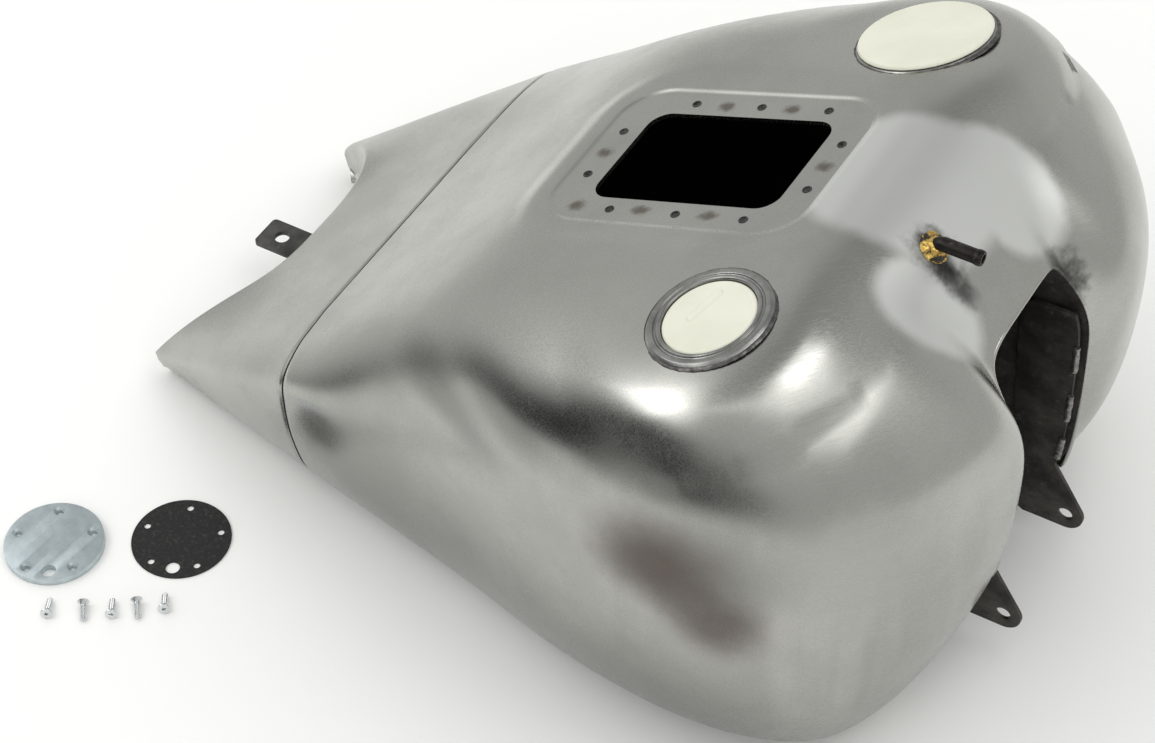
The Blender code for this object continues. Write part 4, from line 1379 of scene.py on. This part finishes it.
for word, at, thickness, finish, slot in (
        ("plate", PLATE_AT, COVER_THICK, ZINC, "zinc_plate"),
        ("gasket", GASKET_AT, GASKET_THICK, FIBRE, "gasket_fibre")):
    node = "cover_" + word
    dress(cover_disc(node + "_disc", at, thickness, word == "plate"), finish, node, slot, node)
for number, spot in enumerate(SCREWS_AT, 1):
    node = f"cover_screw_{number}"
    dress(cover_screw(number, *spot), ZINC_SCREW, node, "zinc_screws", node)

# CAD nodes that keep their shape and get a finish.
KEPT = {"floor_pan_left": STEEL, "floor_pan_right": STEEL,
        "sender_flange": RINGS, "crossover_left": RINGS, "crossover_right": RINGS}
for node, finish in KEPT.items():
    mesh = frame["nodes"][node].data
    mesh.materials.clear()
    mesh.materials.append(finish)


# ---------------------------------------------------------------- stage, light and camera

def floor():
    mesh = bpy.data.meshes.new("floor")
    with editing(mesh) as bm:
        bmesh.ops.create_grid(bm, x_segments=1, y_segments=1, size=FLOOR_SIZE)
    obj = add_object("floor", mesh, Matrix.Translation(mm(0, 0, -0.2)))
    mesh.materials.append(Finish("floor").set(Base_Color=FLOOR_COLOUR, Roughness=0.7))


FLOOR_SIZE = 6.0
FLOOR_COLOUR = (0.88, 0.88, 0.87)
CAMERA_AT = Vector((0.637, -1.145, 1.508))
CAMERA_AIM = Vector((-0.129, 0.025, 0))
CAMERA_ROLL = math.radians(-3.0)
CAMERA_LENS = 90.2

# The world's brightness: as the steel mirrors it, as it lights matt things, as the camera sees it.
STUDIO_LEVEL = 0.66
DIFFUSE_LEVEL = 1.05
CAMERA_LEVEL = 1.0
# How far from a panel's centre its brightness starts and is full, in its own half sizes.
PANEL_EDGE = (1.35, 0.65)
# The panels the steel mirrors: azimuth, elevation, half width, half height, brightness.
STUDIO = [(-125, 7, 0.80, 0.34, 0.03),      # dark end of the room, behind the near side
          (-75, 12, 0.35, 0.20, 0.25),
          (75, 72, 0.60, 0.60, 0.40),       # dimmer ceiling on the far side
          (-155, 46, 0.55, 0.22, 2.0),      # window at the rear
          (-75, 63, 0.42, 0.09, 1.3),
          (-5, 58, 0.38, 0.26, 1.8)]        # soft light above the nose


def world():
    """A pale studio, with dark and bright panels for the steel to mirror."""
    sky = bpy.data.worlds.new("studio")
    bpy.context.scene.world = sky
    sky.use_nodes = True
    tree = sky.node_tree

    def add(kind, settings=(), **inputs):
        node = tree.nodes.new(kind)
        for key, value in dict(settings).items():
            setattr(node, key, value)
        for key, value in inputs.items():
            socket = node.inputs[key.replace("_", " ")]
            if isinstance(value, bpy.types.NodeSocket):
                tree.links.new(value, socket)
            else:
                socket.default_value = value
        return node

    def blend(share, a, b):
        return add("ShaderNodeMix", Factor=share, A=a, B=b).outputs[0]

    where = add("ShaderNodeTexCoord").outputs["Generated"]
    level = STUDIO_LEVEL
    for azimuth, elevation, wide, tall, bright in STUDIO:
        turn = (0, -math.radians(elevation), math.radians(azimuth))
        centre = Vector((1, 0, 0))
        centre.rotate(Matrix.Rotation(turn[1], 3, "Y"))
        centre.rotate(Matrix.Rotation(turn[2], 3, "Z"))
        local = add("ShaderNodeMapping", {"vector_type": "TEXTURE"}, Vector=where,
                    Location=centre, Rotation=turn, Scale=(1, wide, tall))
        away = add("ShaderNodeVectorMath", {"operation": "LENGTH"})
        tree.links.new(local.outputs[0], away.inputs[0])
        share = add("ShaderNodeMapRange", {"interpolation_type": "SMOOTHSTEP"},
                    Value=away.outputs["Value"], From_Min=PANEL_EDGE[0], From_Max=PANEL_EDGE[1])
        level = blend(share.outputs[0], level, bright)
    path = add("ShaderNodeLightPath").outputs
    level = blend(path["Is Diffuse Ray"], level, DIFFUSE_LEVEL)
    level = blend(path["Is Camera Ray"], level, CAMERA_LEVEL)
    background = tree.nodes["Background"].inputs
    tree.links.new(level, background["Strength"])
    background["Color"].default_value = (1, 1, 0.985, 1)


def softbox(name, at, towards, size, power):
    light = bpy.data.lights.new(name, "AREA")
    light.shape = "RECTANGLE"
    light.size, light.size_y = size
    light.energy = power
    obj = bpy.data.objects.new(name, light)
    bpy.context.scene.collection.objects.link(obj)
    obj.location = at
    obj.rotation_euler = (Vector(towards) - Vector(at)).to_track_quat("-Z", "Y").to_euler()


def camera():
    lens = bpy.data.cameras.new("camera")
    lens.sensor_width = 36
    lens.lens = CAMERA_LENS
    lens.clip_end = 50
    obj = bpy.data.objects.new("camera", lens)
    bpy.context.scene.collection.objects.link(obj)
    turn = (CAMERA_AIM - CAMERA_AT).to_track_quat("-Z", "Y").to_matrix().to_4x4()
    obj.matrix_world = Matrix.Translation(CAMERA_AT) @ turn @ Matrix.Rotation(CAMERA_ROLL, 4, "Z")
    bpy.context.scene.camera = obj


bpy.context.scene.view_settings.view_transform = "Standard"
floor()
world()
softbox("window", (-1.5, -0.8, 1.7), (0, 0, 0.2), (1.4, 0.9), 6)
softbox("overhead", (0.9, 0.1, 2.3), (0, 0, 0.2), (1.0, 1.0), 5)
camera()
